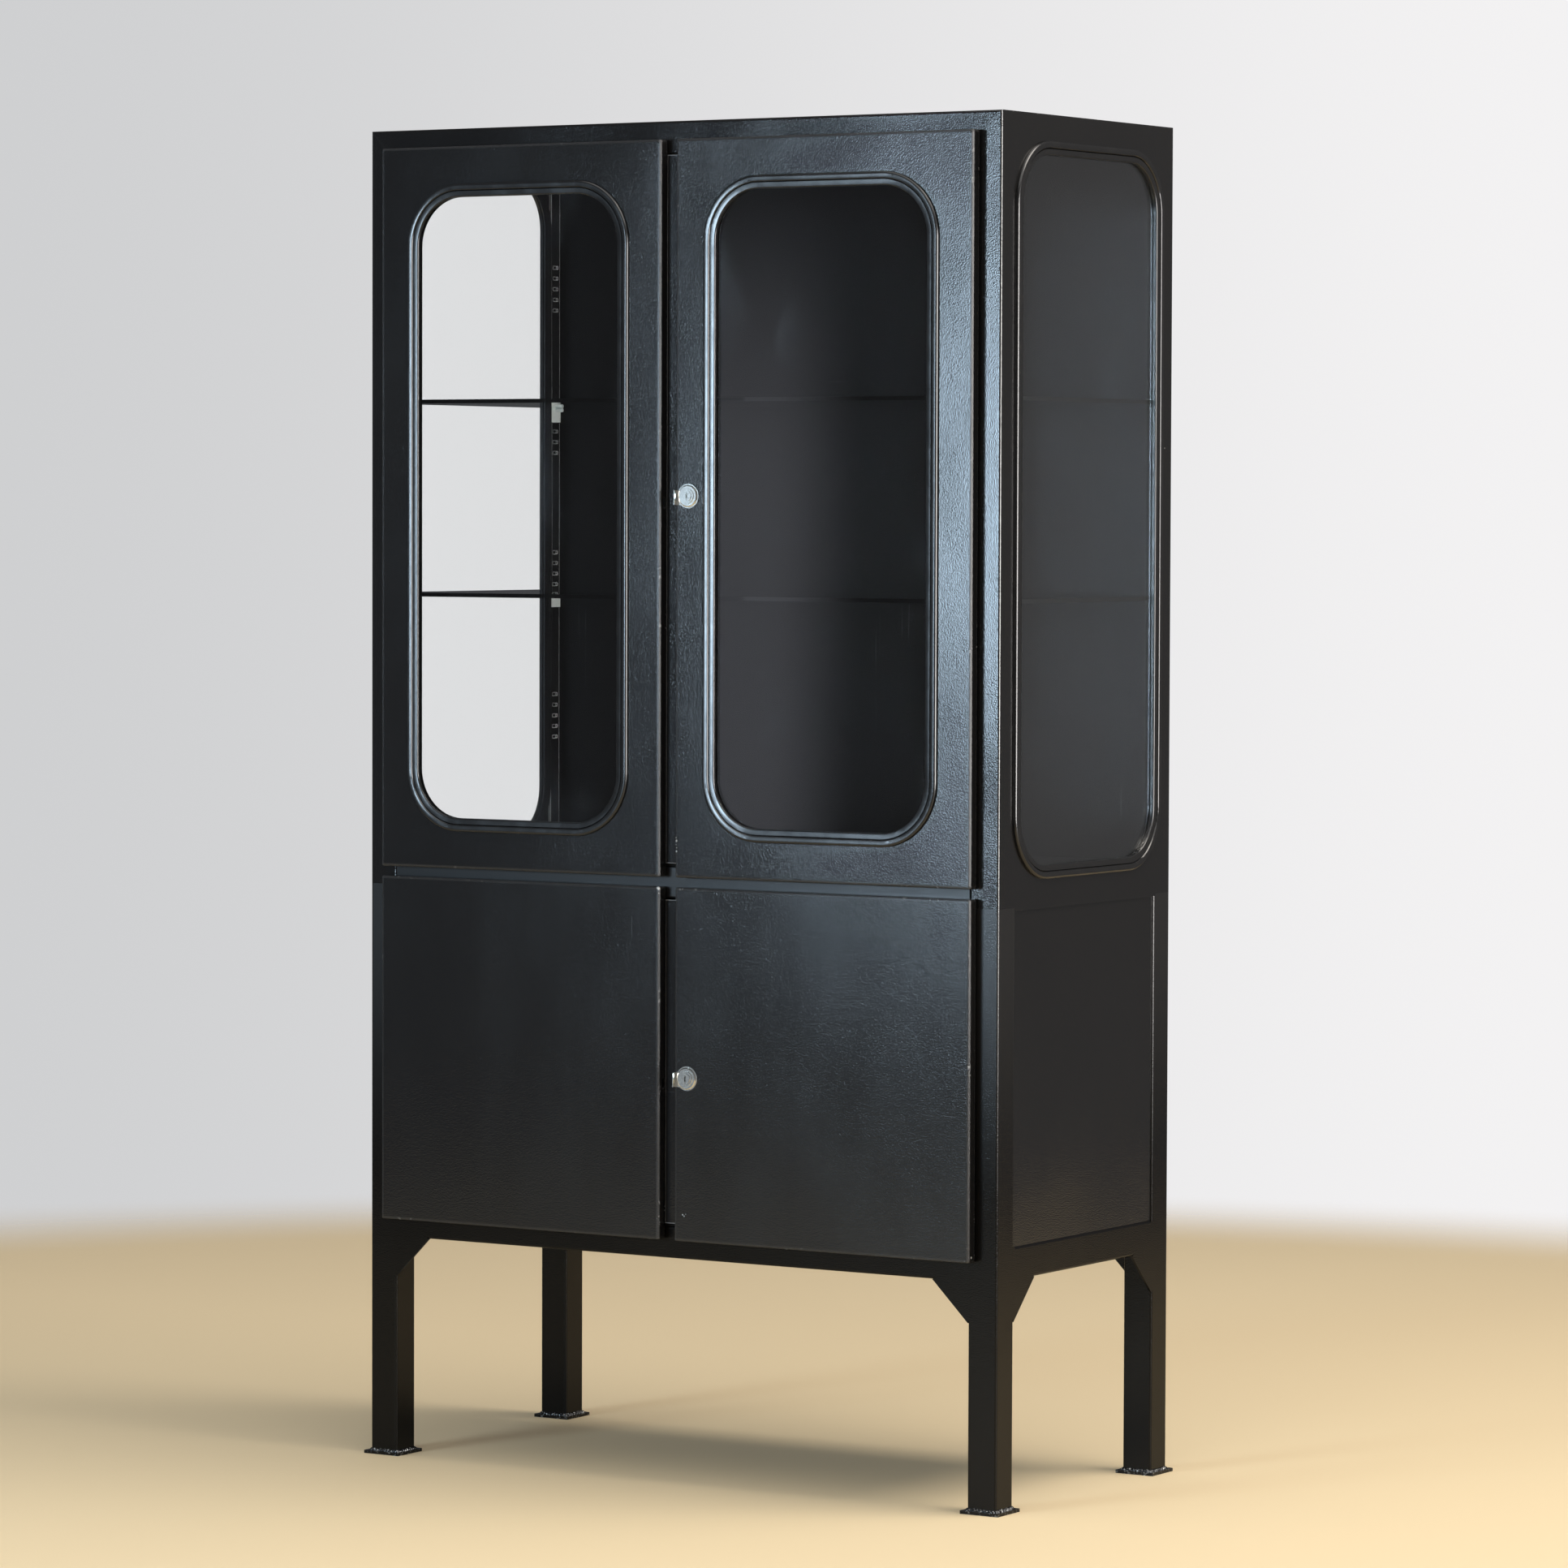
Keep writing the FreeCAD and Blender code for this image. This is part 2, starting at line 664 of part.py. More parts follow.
def seal_section(made, thick, low):
    """The rubber from its foot on the sheet over both beads to the pane, and back along the inside."""
    pane_back = glass_set + glass_thick
    lip_start = groove_at + lip_rise
    points = [
        (ZERO, ZERO), (-bead_proud, bead_flank), (bead_fall - bead_proud, bead_flank + bead_crest),
        (-groove_proud, groove_at), (-lip_proud, lip_start), (lip_fall - lip_proud, lip_start + lip_crest),
        (-lip_edge_proud, seal_wide), (glass_set, seal_wide), (glass_set, pane_edge), (pane_back, pane_edge),
        (pane_back, seal_wide), (seal_depth, seal_wide), (seal_depth, seal_back_inset),
        (thick, seal_back_inset), (thick, seal_grip), (ZERO, seal_grip),
    ]
    rounds = {0: bead_flank_round, 1: bead_crest_round, 2: bead_flank_round, 4: lip_crest_round,
              5: lip_edge_round}
    return section(made, [(x, low + y) for x, y in points], rounds)


def window(seal_label, glass_label, wide, tall, thick, x, y, z, turn=0):
    """Seal and pane about their own middle, outer side facing -Y before the turn."""
    across, upright = (-wide / 2, wide / 2), (-tall / 2, tall / 2)
    body = new_body(seal_label)
    path = rounded(sketch(body, "XZ"), across, upright, window_radius)
    sweep(body, seal_section(sketch(body, "YZ"), thick, upright[0]), path)
    keep(place(body, x, y, z, turn), seal_label)

    pane = new_body(glass_label)
    edge = pane_edge + glass_play
    shape = sketch(pane, "XZ", -glass_set)
    rounded(shape, inset(across, edge), inset(upright, edge), window_radius - edge)
    pad(pane, shape, glass_thick, backwards=True)
    keep(place(pane, x, y, z, turn), glass_label)


side_wide = case_depth - side_window_front - side_window_rear
side_tall = case_height - middle_height - side_window_top - side_window_bottom
side_middle_y = (side_window_front + case_depth - side_window_rear) / 2
side_middle_z = (middle_height + side_window_bottom + case_height - side_window_top) / 2
for side_name, side in SIDES:
    window(f"side_seal_{side_name}", f"side_glass_{side_name}", side_wide, side_tall, case_sheet,
           half_width * side, side_middle_y, side_middle_z, 90 * side)


# Doors: pans of folded sheet, the upper pair glazed, with the lock's hole and slots for its bolt
upper_span = (upper_low, upper_high)
lower_span = (lower_low, lower_high)
bolt_high = -(pitch_radius - tooth_above)
bolt_low = bolt_high - bolt_tall - tooth_above - tooth_below
DOORS = (("upper", upper_span, upper_lock_height, True), ("lower", lower_span, lower_lock_height, False))


def door_pan(label, side, span, lock_height, glazed):
    body = new_body(label)
    across, upright = (-door_width / 2, door_width / 2), (-(span[1] - span[0]) / 2, (span[1] - span[0]) / 2)
    block = pad(body, rectangle(sketch(body, "XZ"), across, upright), door_depth, backwards=True)

    def folds(points):
        return any(near(p.y, ZERO) for p in points)

    fillet(body, block, door_bend, folds)
    hollow = sketch(body, "XZ", -door_sheet)
    rounded(hollow, inset(across, door_sheet), inset(upright, door_sheet), door_bend - door_sheet)
    pocket(body, hollow, door_depth)
    if glazed:
        hole_x = (across[0] + window_left + seal_grip, across[1] - window_right - seal_grip)
        hole_z = inset(upright, window_end + seal_grip)
        pocket(body, rounded(sketch(body, "XZ"), hole_x, hole_z, window_radius - seal_grip))
    middle_z = (span[0] + span[1]) / 2
    lock_z = lock_height - middle_z
    if side > 0:
        pocket(body, circle(sketch(body, "XZ"), lock_x - door_middle, lock_z, barrel_radius + barrel_play))
    play = bolt_play if side > 0 else strike_play
    slot_deep = (door_face - bolt_back - play, door_face - bolt_back + bolt_thick + play)
    slot = rectangle(sketch(body, "YZ"), slot_deep, (lock_z + bolt_low - play, lock_z + bolt_high + play))
    pocket(body, slot, forwards=side < 0)
    place(body, door_middle * side, -door_face, middle_z)
    return keep(body, label)


for level, span, lock_height, glazed in DOORS:
    for side_name, side in SIDES:
        door = f"{level}_{side_name}_door"
        door_pan(f"{door}_pan", side, span, lock_height, glazed)
        if glazed:
            window_middle = door_middle * side + (window_left - window_right) / 2
            window(f"{door}_seal", f"{door}_glass", door_width - window_left - window_right,
                   span[1] - span[0] - window_end * 2, door_sheet, window_middle, -door_face,
                   (span[0] + span[1]) / 2)

# Cover strips: flat bars behind the right-hand doors' inner edges that close the gap between the doors
for level, opening in (("upper", (deck_top, opening_top)), ("lower", (floor_top, middle_height))):
    body = new_body(f"{level}_cover_strip")
    strip_x = (door_inner - strip_reach, door_inner + door_sheet)
    strip_z = inset(opening, strip_play)
    bar = pad(body, rectangle(sketch(body, "XY"), strip_x, (ZERO, strip_thick)), strip_z[1] - strip_z[0])
    fillet(body, bar, strip_edge, lambda points: all(near(p.x, strip_x[0]) for p in points)
           and abs(points[0].z - points[-1].z) > strip_thick.value)
    keep(place(body, ZERO, -door_gap, strip_z[0]), body.Name)


# Hinges: an arm on the stile reaches round into the door pan to a pin, and a leaf in the pan turns on it
def hinge_arm(side, z):
    body = new_body("hinge_arm")
    foot_x = opening_half * side
    neck_out, neck_in = (hinge_x - arm_neck) * side, (hinge_x - arm_neck - arm_thick) * side
    foot_in = (opening_half - arm_foot_thick) * side
    bridge = (tube_corner, tube_corner + arm_thick)
    finger = (hinge_y - arm_thick / 2, hinge_y + arm_thick / 2)
    corners = [
        (foot_x, bridge[0]), (foot_x, arm_foot_reach), (foot_in, arm_foot_reach), (foot_in, bridge[1]),
        (neck_in, bridge[1]), (neck_in, finger[0]), (hinge_x * side, finger[0]), (hinge_x * side, finger[1]),
        (neck_out, finger[1]), (neck_out, bridge[0]),
    ]
    pad(body, outline(sketch(body, "XY"), corners), arm_height)
    pad(body, circle(sketch(body, "XY"), hinge_x * side, hinge_y, eye_radius), arm_height)
    pocket(body, circle(sketch(body, "XY"), hinge_x * side, hinge_y, pin_radius), forwards=True)
    return place(body, ZERO, ZERO, z - arm_height / 2)


def hinge_leaf(side, z):
    """A channel welded into the pan's corner, with a lug above and below the arm's eye."""
    outside = door_outer - door_sheet
    skin = door_sheet - door_face
    eye_half = arm_height / 2 + lug_play
    leaf_half = eye_half + lug_thick
    leaf_y = (skin, skin + leaf_depth)
    channel = box(mirrored(side, outside - leaf_reach, outside), leaf_y, (z - leaf_half, z + leaf_half))
    gap_x = mirrored(side, outside - leaf_reach - overrun, outside - leaf_wall)
    gap = box(gap_x, (skin - overrun, skin + leaf_depth + overrun), (z - eye_half, z + eye_half))
    hole = cylinder(pin_radius + pin_play, leaf_half * 2 + overrun * 2, hinge_x * side, hinge_y,
                    z - leaf_half - overrun)
    return cut(cut(channel, gap), hole)


arms, pins = [], []
HINGES = (("upper", upper_span, upper_hinge_inset), ("lower", lower_span, lower_hinge_inset))
for level, span, inset_z in HINGES:
    for side_name, side in SIDES:
        heights = (span[0] + inset_z, span[1] - inset_z)
        leaves = [hinge_leaf(side, z) for z in heights]
        keep(group(leaves), f"{level}_{side_name}_hinge_leaves")
        for z in heights:
            arms.append(hinge_arm(side, z))
            pin_half = arm_height / 2 + lug_play + lug_thick
            pins.append(cylinder(pin_radius, pin_half * 2, hinge_x * side, hinge_y, z - pin_half))
keep(group(arms), "hinge_arms")
keep(group(pins), "hinge_pins")


# Locks: a pull plate and a rosette outside the pan, a case inside it, and a plug whose pinion drives a rack
# on the bolt
def lock_case(level, lock_z):
    """Rosette, barrel and case in one piece about the key's axis, with the door's face at local Y = 0."""
    body = new_body(f"{level}_lock_case")
    bore = plug_radius + plug_play
    face = -(pull_thick + rosette_thick)
    step = face + rosette_step
    profile = [
        (bore, door_sheet), (bore, face), (bore + rosette_ring, face), (bore + rosette_ring, step),
        (rosette_radius - rosette_step, step), (rosette_radius, step + rosette_step / 2),
        (rosette_radius, -pull_thick), (barrel_radius, -pull_thick), (barrel_radius, door_sheet),
    ]
    revolve(body, outline(sketch(body, "XY"), profile))
    across = (-lock_case_left, lock_case_right)
    cavity_low = bolt_low - bolt_play
    upright = (cavity_low - lock_case_wall, lock_case_top)
    pad(body, rectangle(sketch(body, "XZ", -door_sheet), across, upright), lock_case_depth, backwards=True)
    hollow = rectangle(sketch(body, "XZ", -(door_sheet + lock_case_wall)), inset(across, lock_case_wall),
                       inset(upright, lock_case_wall))
    pocket(body, hollow, lock_case_depth - lock_case_wall * 2)
    bolt_y = (door_face - bolt_back - bolt_play, door_face - bolt_back + bolt_thick + bolt_play)
    for forwards in (False, True):
        slot = rectangle(sketch(body, "YZ"), bolt_y, (cavity_low, bolt_high + bolt_play))
        pocket(body, slot, forwards=forwards)
    pocket(body, circle(sketch(body, "XZ"), ZERO, ZERO, bore), door_sheet + lock_case_wall)
    pocket(body, circle(sketch(body, "XZ"), ZERO, ZERO, journal_radius + plug_play))
    place(body, lock_x, -door_face, lock_z)
    return keep(body, body.Name)


def lock_plug(level, lock_z):
    """The turning plug with its key slot, pinion and rear journal."""
    body = new_body(f"{level}_lock_plug")
    face = -(pull_thick + rosette_thick + plug_proud)
    shoulder = door_sheet + lock_case_wall
    gear = (door_face - bolt_back, door_face - bolt_back + bolt_thick)
    tail = door_sheet + lock_case_depth
    profile = [
        (ZERO, face), (plug_radius, face), (plug_radius, shoulder), (journal_radius, shoulder),
        (journal_radius, tail), (ZERO, tail),
    ]
    revolve(body, outline(sketch(body, "XY"), profile))
    tip, root = pitch_radius + tooth_above, pitch_radius - tooth_below
    pad(body, circle(sketch(body, "XZ", -gear[0]), ZERO, ZERO, tip), bolt_thick, backwards=True)
    gap_top = tip + tooth_above
    gap = [(-(pitch_step / 2), gap_top), (pitch_step / 2, gap_top), (tooth_root / 2, root),
           (-(tooth_root / 2), root)]
    first = pocket(body, outline(sketch(body, "XZ", -gear[0]), gap), bolt_thick)
    doc.recompute()
    teeth = body.newObject("PartDesign::PolarPattern", body.Name + "_teeth")
    teeth.Originals = [first]
    axis = next(item for item in body.Origin.OriginFeatures if item.Role == "Y_Axis")
    teeth.Axis = (axis, [""])
    teeth.Angle = 360
    teeth.Occurrences = PINION_TEETH
    body.Tip = teeth
    slot = rectangle(sketch(body, "XZ", -face), (-key_slot_wide / 2, key_slot_wide / 2),
                     (-key_slot_tall / 2, key_slot_tall / 2))
    pocket(body, slot, key_slot_deep)
    place(body, lock_x, -door_face, lock_z)
    return keep(body, body.Name)


def lock_bolt(level, lock_z):
    """A flat bolt with rack teeth along its upper edge, drawn back so that its tip is flush with the pan."""
    body = new_body(f"{level}_lock_bolt")
    tip_x = bolt_tip_set - lock_inset
    tail_x = tip_x + bolt_length
    bar = rectangle(sketch(body, "XZ"), (tip_x, tail_x), (bolt_low, bolt_high))
    pad(body, bar, bolt_thick, backwards=True)
    root = bolt_high - tooth_above - tooth_below
    gap_x = -(pitch_step * 2.5)
    gap = [(gap_x - tooth_root, bolt_high + tooth_above), (gap_x + tooth_root, bolt_high + tooth_above),
           (gap_x + tooth_tip, root), (gap_x - tooth_tip, root)]
    first = pocket(body, outline(sketch(body, "XZ"), gap), bolt_thick)
    doc.recompute()
    spaces = math.ceil((tail_x.value - gap_x.value) / pitch_step.value)
    teeth = body.newObject("PartDesign::LinearPattern", body.Name + "_teeth")
    teeth.Originals = [first]
    axis = next(item for item in body.Origin.OriginFeatures if item.Role == "X_Axis")
    teeth.Direction = (axis, [""])
    teeth.setExpression("Length", (pitch_step * (spaces - 1)).text)
    teeth.Occurrences = spaces
    body.Tip = teeth
    place(body, lock_x, -bolt_back, lock_z)
    return keep(body, body.Name)


def pull_plate(level, lock_z):
    """A plated disc under the rosette, whose left edge is bent out into a finger lip."""
    body = new_body(f"{level}_pull_plate")
    radius = rosette_radius + pull_edge
    disc = sketch(body, "XZ")
    circle(disc, ZERO, ZERO, radius)
    circle(disc, ZERO, ZERO, barrel_radius + barrel_play)
    pad(body, disc, pull_thick)
    lip_z = (-(pull_lip_tall / 2) - pull_lip_drop, pull_lip_tall / 2 - pull_lip_drop)
    lip_x = -(radius + pull_edge)
    pad(body, rectangle(sketch(body, "XZ"), (lip_x, -barrel_radius - pull_edge), lip_z), pull_thick)
    lip = rectangle(sketch(body, "XZ"), (lip_x, lip_x + pull_thick), lip_z)
    pad(body, lip, pull_thick + pull_lip_out)
    place(body, lock_x, -door_face, lock_z)
    return keep(body, body.Name)


for level, span, lock_height, glazed in DOORS:
    lock_case(level, lock_height)
    lock_plug(level, lock_height)
    lock_bolt(level, lock_height)
    pull_plate(level, lock_height)


# Slide bolts: each left-hand door is held at its top by a flat bolt in a bracket behind its free edge
def slide_bolt(level, strike_z):
    top = strike_z - slide_stop
    guide_top = strike_z - guide_drop
    guide_z = (guide_top - guide_tall, guide_top)
    guide_x = (slide_x[0] - slide_play - guide_wall, slide_x[1] + slide_play + guide_wall)
    guide_y = (door_sheet - door_face, slide_y[1] + slide_play + guide_wall)
    bracket = box(guide_x, guide_y, guide_z)
    hollow_y = (guide_y[0] + guide_wall, slide_y[0] - slide_play - guide_wall)
    hollow = box(inset(guide_x, guide_wall), hollow_y, (guide_z[0] - overrun, guide_z[1] + overrun))
    way = box(strike_x, strike_y, (guide_z[0] - overrun, guide_z[1] + overrun))
    keep(cut(cut(bracket, hollow), way), f"{level}_slide_bolt_guide")
    low = top - slide_long
    bar = box(slide_x, slide_y, (low, top))
    knob = cylinder(knob_radius, slide_thick / 2 + knob_out, slide_middle, slide_y[0] + slide_thick / 2,
                    low + knob_rise, V(0, 1, 0))
    keep(fuse([bar, knob]), f"{level}_slide_bolt")


slide_bolt("upper", opening_top)
slide_bolt("lower", middle_height)


# Shelves: slotted rails on the side sheets, clips with a peg hooked into the slots, and two panes of glass
rail_x = (inner_half - rail_thick, inner_half)
rail_z = (deck_top + rail_low, opening_top - rail_top)
slot_run = rail_z[1] - last_slot_down - rail_z[0] - first_slot_up
slot_group_pitch = (slot_run - slot_pitch * (SLOTS_IN_GROUP - 1)) / (SLOT_GROUPS - 1)
SHELVES = (("glass_shelf_lower", 1, 0), ("glass_shelf_upper", 2, 4))
front_rail_y = (stile_return + rail_clear, stile_return + rail_clear + rail_wide)
rear_rail_y = (back_y - rail_clear * 2 - rail_wide, back_y - rail_clear * 2)


def slot_height(slot_group, step):
    return rail_z[0] + first_slot_up + slot_group_pitch * slot_group + slot_pitch * step


def shelf_rail(side, y_span):
    bar = box(mirrored(side, *rail_x), y_span, rail_z)
    middle = (y_span[0] + y_span[1]) / 2
    slot_y = (middle - slot_wide / 2, middle + slot_wide / 2)
    slot_x = mirrored(side, rail_x[0] - overrun, rail_x[1] + overrun)
    slots = []
    for slot_group in range(SLOT_GROUPS):
        for step in range(SLOTS_IN_GROUP):
            z = slot_height(slot_group, step)
            slots.append(box(slot_x, slot_y, (z - slot_tall / 2, z + slot_tall / 2)))
    return cut(bar, group(slots))


def shelf_clip(side, y_span, z):
    """A plate with a hook in the rail's slot behind it and a peg in front."""
    middle = (y_span[0] + y_span[1]) / 2
    face = rail_x[0] - clip_plate_thick
    plate = box(mirrored(side, face, rail_x[0]), y_span, (z - clip_plate_below, z + clip_plate_above))
    hook_y = (middle - slot_wide / 2 + clip_play, middle + slot_wide / 2 - clip_play)
    hook_z = (z - slot_tall / 2 + clip_play, z + slot_tall / 2 - clip_play)
    hook = box(mirrored(side, rail_x[0] - clip_plate_thick, rail_x[1]), hook_y, hook_z)
    peg = cylinder(peg_radius, peg_long + clip_plate_thick, rail_x[0] * side, middle, z, V(-side, 0, 0))
    return fuse([plate, hook, peg])


rails, clips = [], []
for side_name, side in SIDES:
    for y_span in (front_rail_y, rear_rail_y):
        rails.append(shelf_rail(side, y_span))
        for label, slot_group, step in SHELVES:
            clips.append(shelf_clip(side, y_span, slot_height(slot_group, step)))
keep(group(rails), "shelf_rails")
keep(group(clips), "shelf_clips")
shelf_half = half_width - seal_depth - shelf_end_play
for label, slot_group, step in SHELVES:
    under = slot_height(slot_group, step) + peg_radius + shelf_seat
    shelf_y = (stile_return + shelf_front, back_y - shelf_back)
    keep(box((-shelf_half, shelf_half), shelf_y, (under, under + shelf_thick)), label)

# Every feature has to be sound, and every cut has to remove something, before anything is written
doc.recompute()
for item in doc.Objects:
    if "Invalid" in item.State or "Error" in item.State:
        raise RuntimeError(f"{item.Label} failed: {item.State}")
    if item.TypeId == "PartDesign::Pocket" and item.Shape.Volume >= item.BaseFeature.Shape.Volume:
        raise RuntimeError(f"{item.Label} cuts nothing")
os.makedirs("parts", exist_ok=True)
for item in nodes:
    if item.Shape.isNull() or not item.Shape.isValid():
        raise RuntimeError(f"{item.Label} has no valid shape")
for item in nodes:
    item.Shape.exportStep(f"parts/{item.Label}.step")
print(len(nodes), "sub-parts written")
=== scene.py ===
import bpy
import bmesh
import math
from mathutils import Matrix, Vector


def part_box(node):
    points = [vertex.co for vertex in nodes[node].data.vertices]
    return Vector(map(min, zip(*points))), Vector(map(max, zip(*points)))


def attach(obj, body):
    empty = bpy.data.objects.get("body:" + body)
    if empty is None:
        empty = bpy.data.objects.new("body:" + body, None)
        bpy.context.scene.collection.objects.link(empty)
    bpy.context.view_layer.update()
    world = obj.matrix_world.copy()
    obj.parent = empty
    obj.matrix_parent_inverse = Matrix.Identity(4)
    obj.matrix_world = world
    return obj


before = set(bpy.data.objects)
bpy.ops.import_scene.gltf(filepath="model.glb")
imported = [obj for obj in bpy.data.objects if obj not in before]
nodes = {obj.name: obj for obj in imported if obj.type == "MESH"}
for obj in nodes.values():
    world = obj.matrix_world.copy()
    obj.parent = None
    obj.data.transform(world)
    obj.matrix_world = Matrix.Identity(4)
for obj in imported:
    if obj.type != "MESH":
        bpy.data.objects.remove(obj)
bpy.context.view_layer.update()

# Stand: four legs and the rails between them, of square steel tube welded together, with triangular gussets
# under the bottom rails. The welds are ground flush, and the whole is sprayed with black enamel, which is
# glossy near the case and duller and darker towards the feet; the darker colour there is painted shade.
SIDES = ("left", "right")
CORNERS = [f"{row}_{side}" for row in ("front", "rear") for side in SIDES]
RAILS = [f"{level}_rail_{edge}" for level in ("bottom", "middle") for edge in ("front", "rear", *SIDES)]
BLACK = (0.0055, 0.0055, 0.0058)
SHINE = 0.5
LOW_SHADE_BLACK = (0.0025, 0.0024, 0.0022)
LOW_SHINE = 0.19
SHADED_BELOW = 0.34
UNSHADED_ABOVE = 0.74
UPPER_GLOSS = 0.62
UPPER_COAT_ROUGHNESS = 0.36
CLOUDED_BLACK = (0.0105, 0.0092, 0.0085, 1.0)
CLOUD_SHOWS = 0.5
SCRATCH_GREY = (0.10, 0.10, 0.105, 1.0)
SCRATCH_SHOWS = 0.2
SCRATCH_ROUGHNESS = 0.08
RUB_AND_HIGHLIGHT_GREY = (0.62, 0.62, 0.63, 1.0)
BARE_STEEL = (0.42, 0.42, 0.40, 1.0)
CHIP_ROUGHNESS = 0.25
CHIP_METAL = 0.6
CHIP_DEPTH = 0.0001
RIPPLE_HEIGHT = 0.0002

# Single knocks down to the metal: where each one is, and its radius
CHIPS = (
    (-0.4598, -0.2010, 0.7859, 0.0012), (-0.0122, -0.2191, 0.7368, 0.0030),
    (-0.0118, -0.2191, 0.7300, 0.0011), (0.0125, -0.2191, 0.7990, 0.0011), (0.0132, -0.2191, 0.7950, 0.0017),
    (0.0128, -0.2191, 0.7905, 0.0010), (0.0140, -0.2191, 0.7868, 0.0009), (0.0134, -0.2191, 0.7822, 0.0012),
    (0.4310, -0.2125, 0.3095, 0.0016), (0.4600, -0.1590, 0.7222, 0.0013), (0.4600, -0.1555, 0.7220, 0.0012),
    (0.4600, -0.1470, 0.7226, 0.0010), (0.4600, -0.1400, 0.7224, 0.0009), (0.4600, 0.2020, 1.2785, 0.0009),
    (0.0240, -0.2191, 0.3362, 0.0007), (0.0262, -0.2191, 0.3345, 0.0008), (0.0285, -0.2191, 0.3370, 0.0006),
    (0.4600, -0.1618, 0.1720, 0.0010), (0.4600, -0.1618, 0.1590, 0.0013), (0.4600, -0.1618, 0.1485, 0.0009),
    (0.4600, 0.2200, 0.0900, 0.0012))


def put(tree, socket, value):
    """Link an input to another node's output, or set it to a plain value."""
    if isinstance(value, bpy.types.NodeSocket):
        tree.links.new(value, socket)
    else:
        socket.default_value = value


def add(tree, kind, **inputs):
    """A node with its inputs linked or set by name."""
    node = tree.nodes.new(kind)
    for name, value in inputs.items():
        put(tree, node.inputs[name.replace("_", " ")], value)
    return node


def maths(tree, operation, first, second=0.0, clamp=False):
    """One arithmetic step between two sockets or numbers."""
    node = tree.nodes.new("ShaderNodeMath")
    node.operation = operation
    node.use_clamp = clamp
    put(tree, node.inputs[0], first)
    put(tree, node.inputs[1], second)
    return node.outputs[0]


def times(tree, first, second, clamp=False):
    """Two sockets, or a socket and a number, multiplied."""
    return maths(tree, "MULTIPLY", first, second, clamp)


def vector_maths(tree, operation, first, second, result="Value"):
    """One step between two vectors, which gives a number unless a vector is asked for."""
    node = tree.nodes.new("ShaderNodeVectorMath")
    node.operation = operation
    put(tree, node.inputs[0], first)
    put(tree, node.inputs[1], second)
    return node.outputs[result]


def spread(tree, value, low, high, to_low=0.0, to_high=1.0):
    """A value from low to high mapped smoothly to another range."""
    node = add(tree, "ShaderNodeMapRange", Value=value, From_Min=low, From_Max=high,
               To_Min=to_low, To_Max=to_high)
    node.interpolation_type = "SMOOTHSTEP"
    return node.outputs["Result"]


def mixed(tree, factor, first, second, kind="RGBA"):
    """Two colours, or two vectors, mixed by a factor; each may be a socket or a plain value."""
    node = tree.nodes.new("ShaderNodeMix")
    node.data_type = kind
    # The node has its inputs and outputs for every kind of data at once, so they are found by their number
    first_input, second_input, result = {"VECTOR": (4, 5, 1), "RGBA": (6, 7, 2)}[kind]
    put(tree, node.inputs[0], factor)
    put(tree, node.inputs[first_input], first)
    put(tree, node.inputs[second_input], second)
    return node.outputs[result]


def own_place(tree):
    """The piece's own coordinates."""
    return tree.nodes.new("ShaderNodeTexCoord").outputs["Object"]


def noise(tree, place, scale, detail=3.0, stretch=None):
    """Noise on the given coordinates, stretched along the axes where asked."""
    if stretch is not None:
        place = add(tree, "ShaderNodeMapping", Vector=place, Scale=stretch).outputs[0]
    return add(tree, "ShaderNodeTexNoise", Vector=place, Scale=scale, Detail=detail).outputs["Fac"]


def shader_group(name, inputs, outputs):
    """An empty shader group with named sockets, its input node and its output node."""
    group = bpy.data.node_groups.new(name, "ShaderNodeTree")
    for label, kind, value in inputs:
        socket = group.interface.new_socket(label, in_out="INPUT", socket_type=kind)
        socket.default_value = value
    for label, kind in outputs:
        group.interface.new_socket(label, in_out="OUTPUT", socket_type=kind)
    return group, group.nodes.new("NodeGroupInput"), group.nodes.new("NodeGroupOutput")


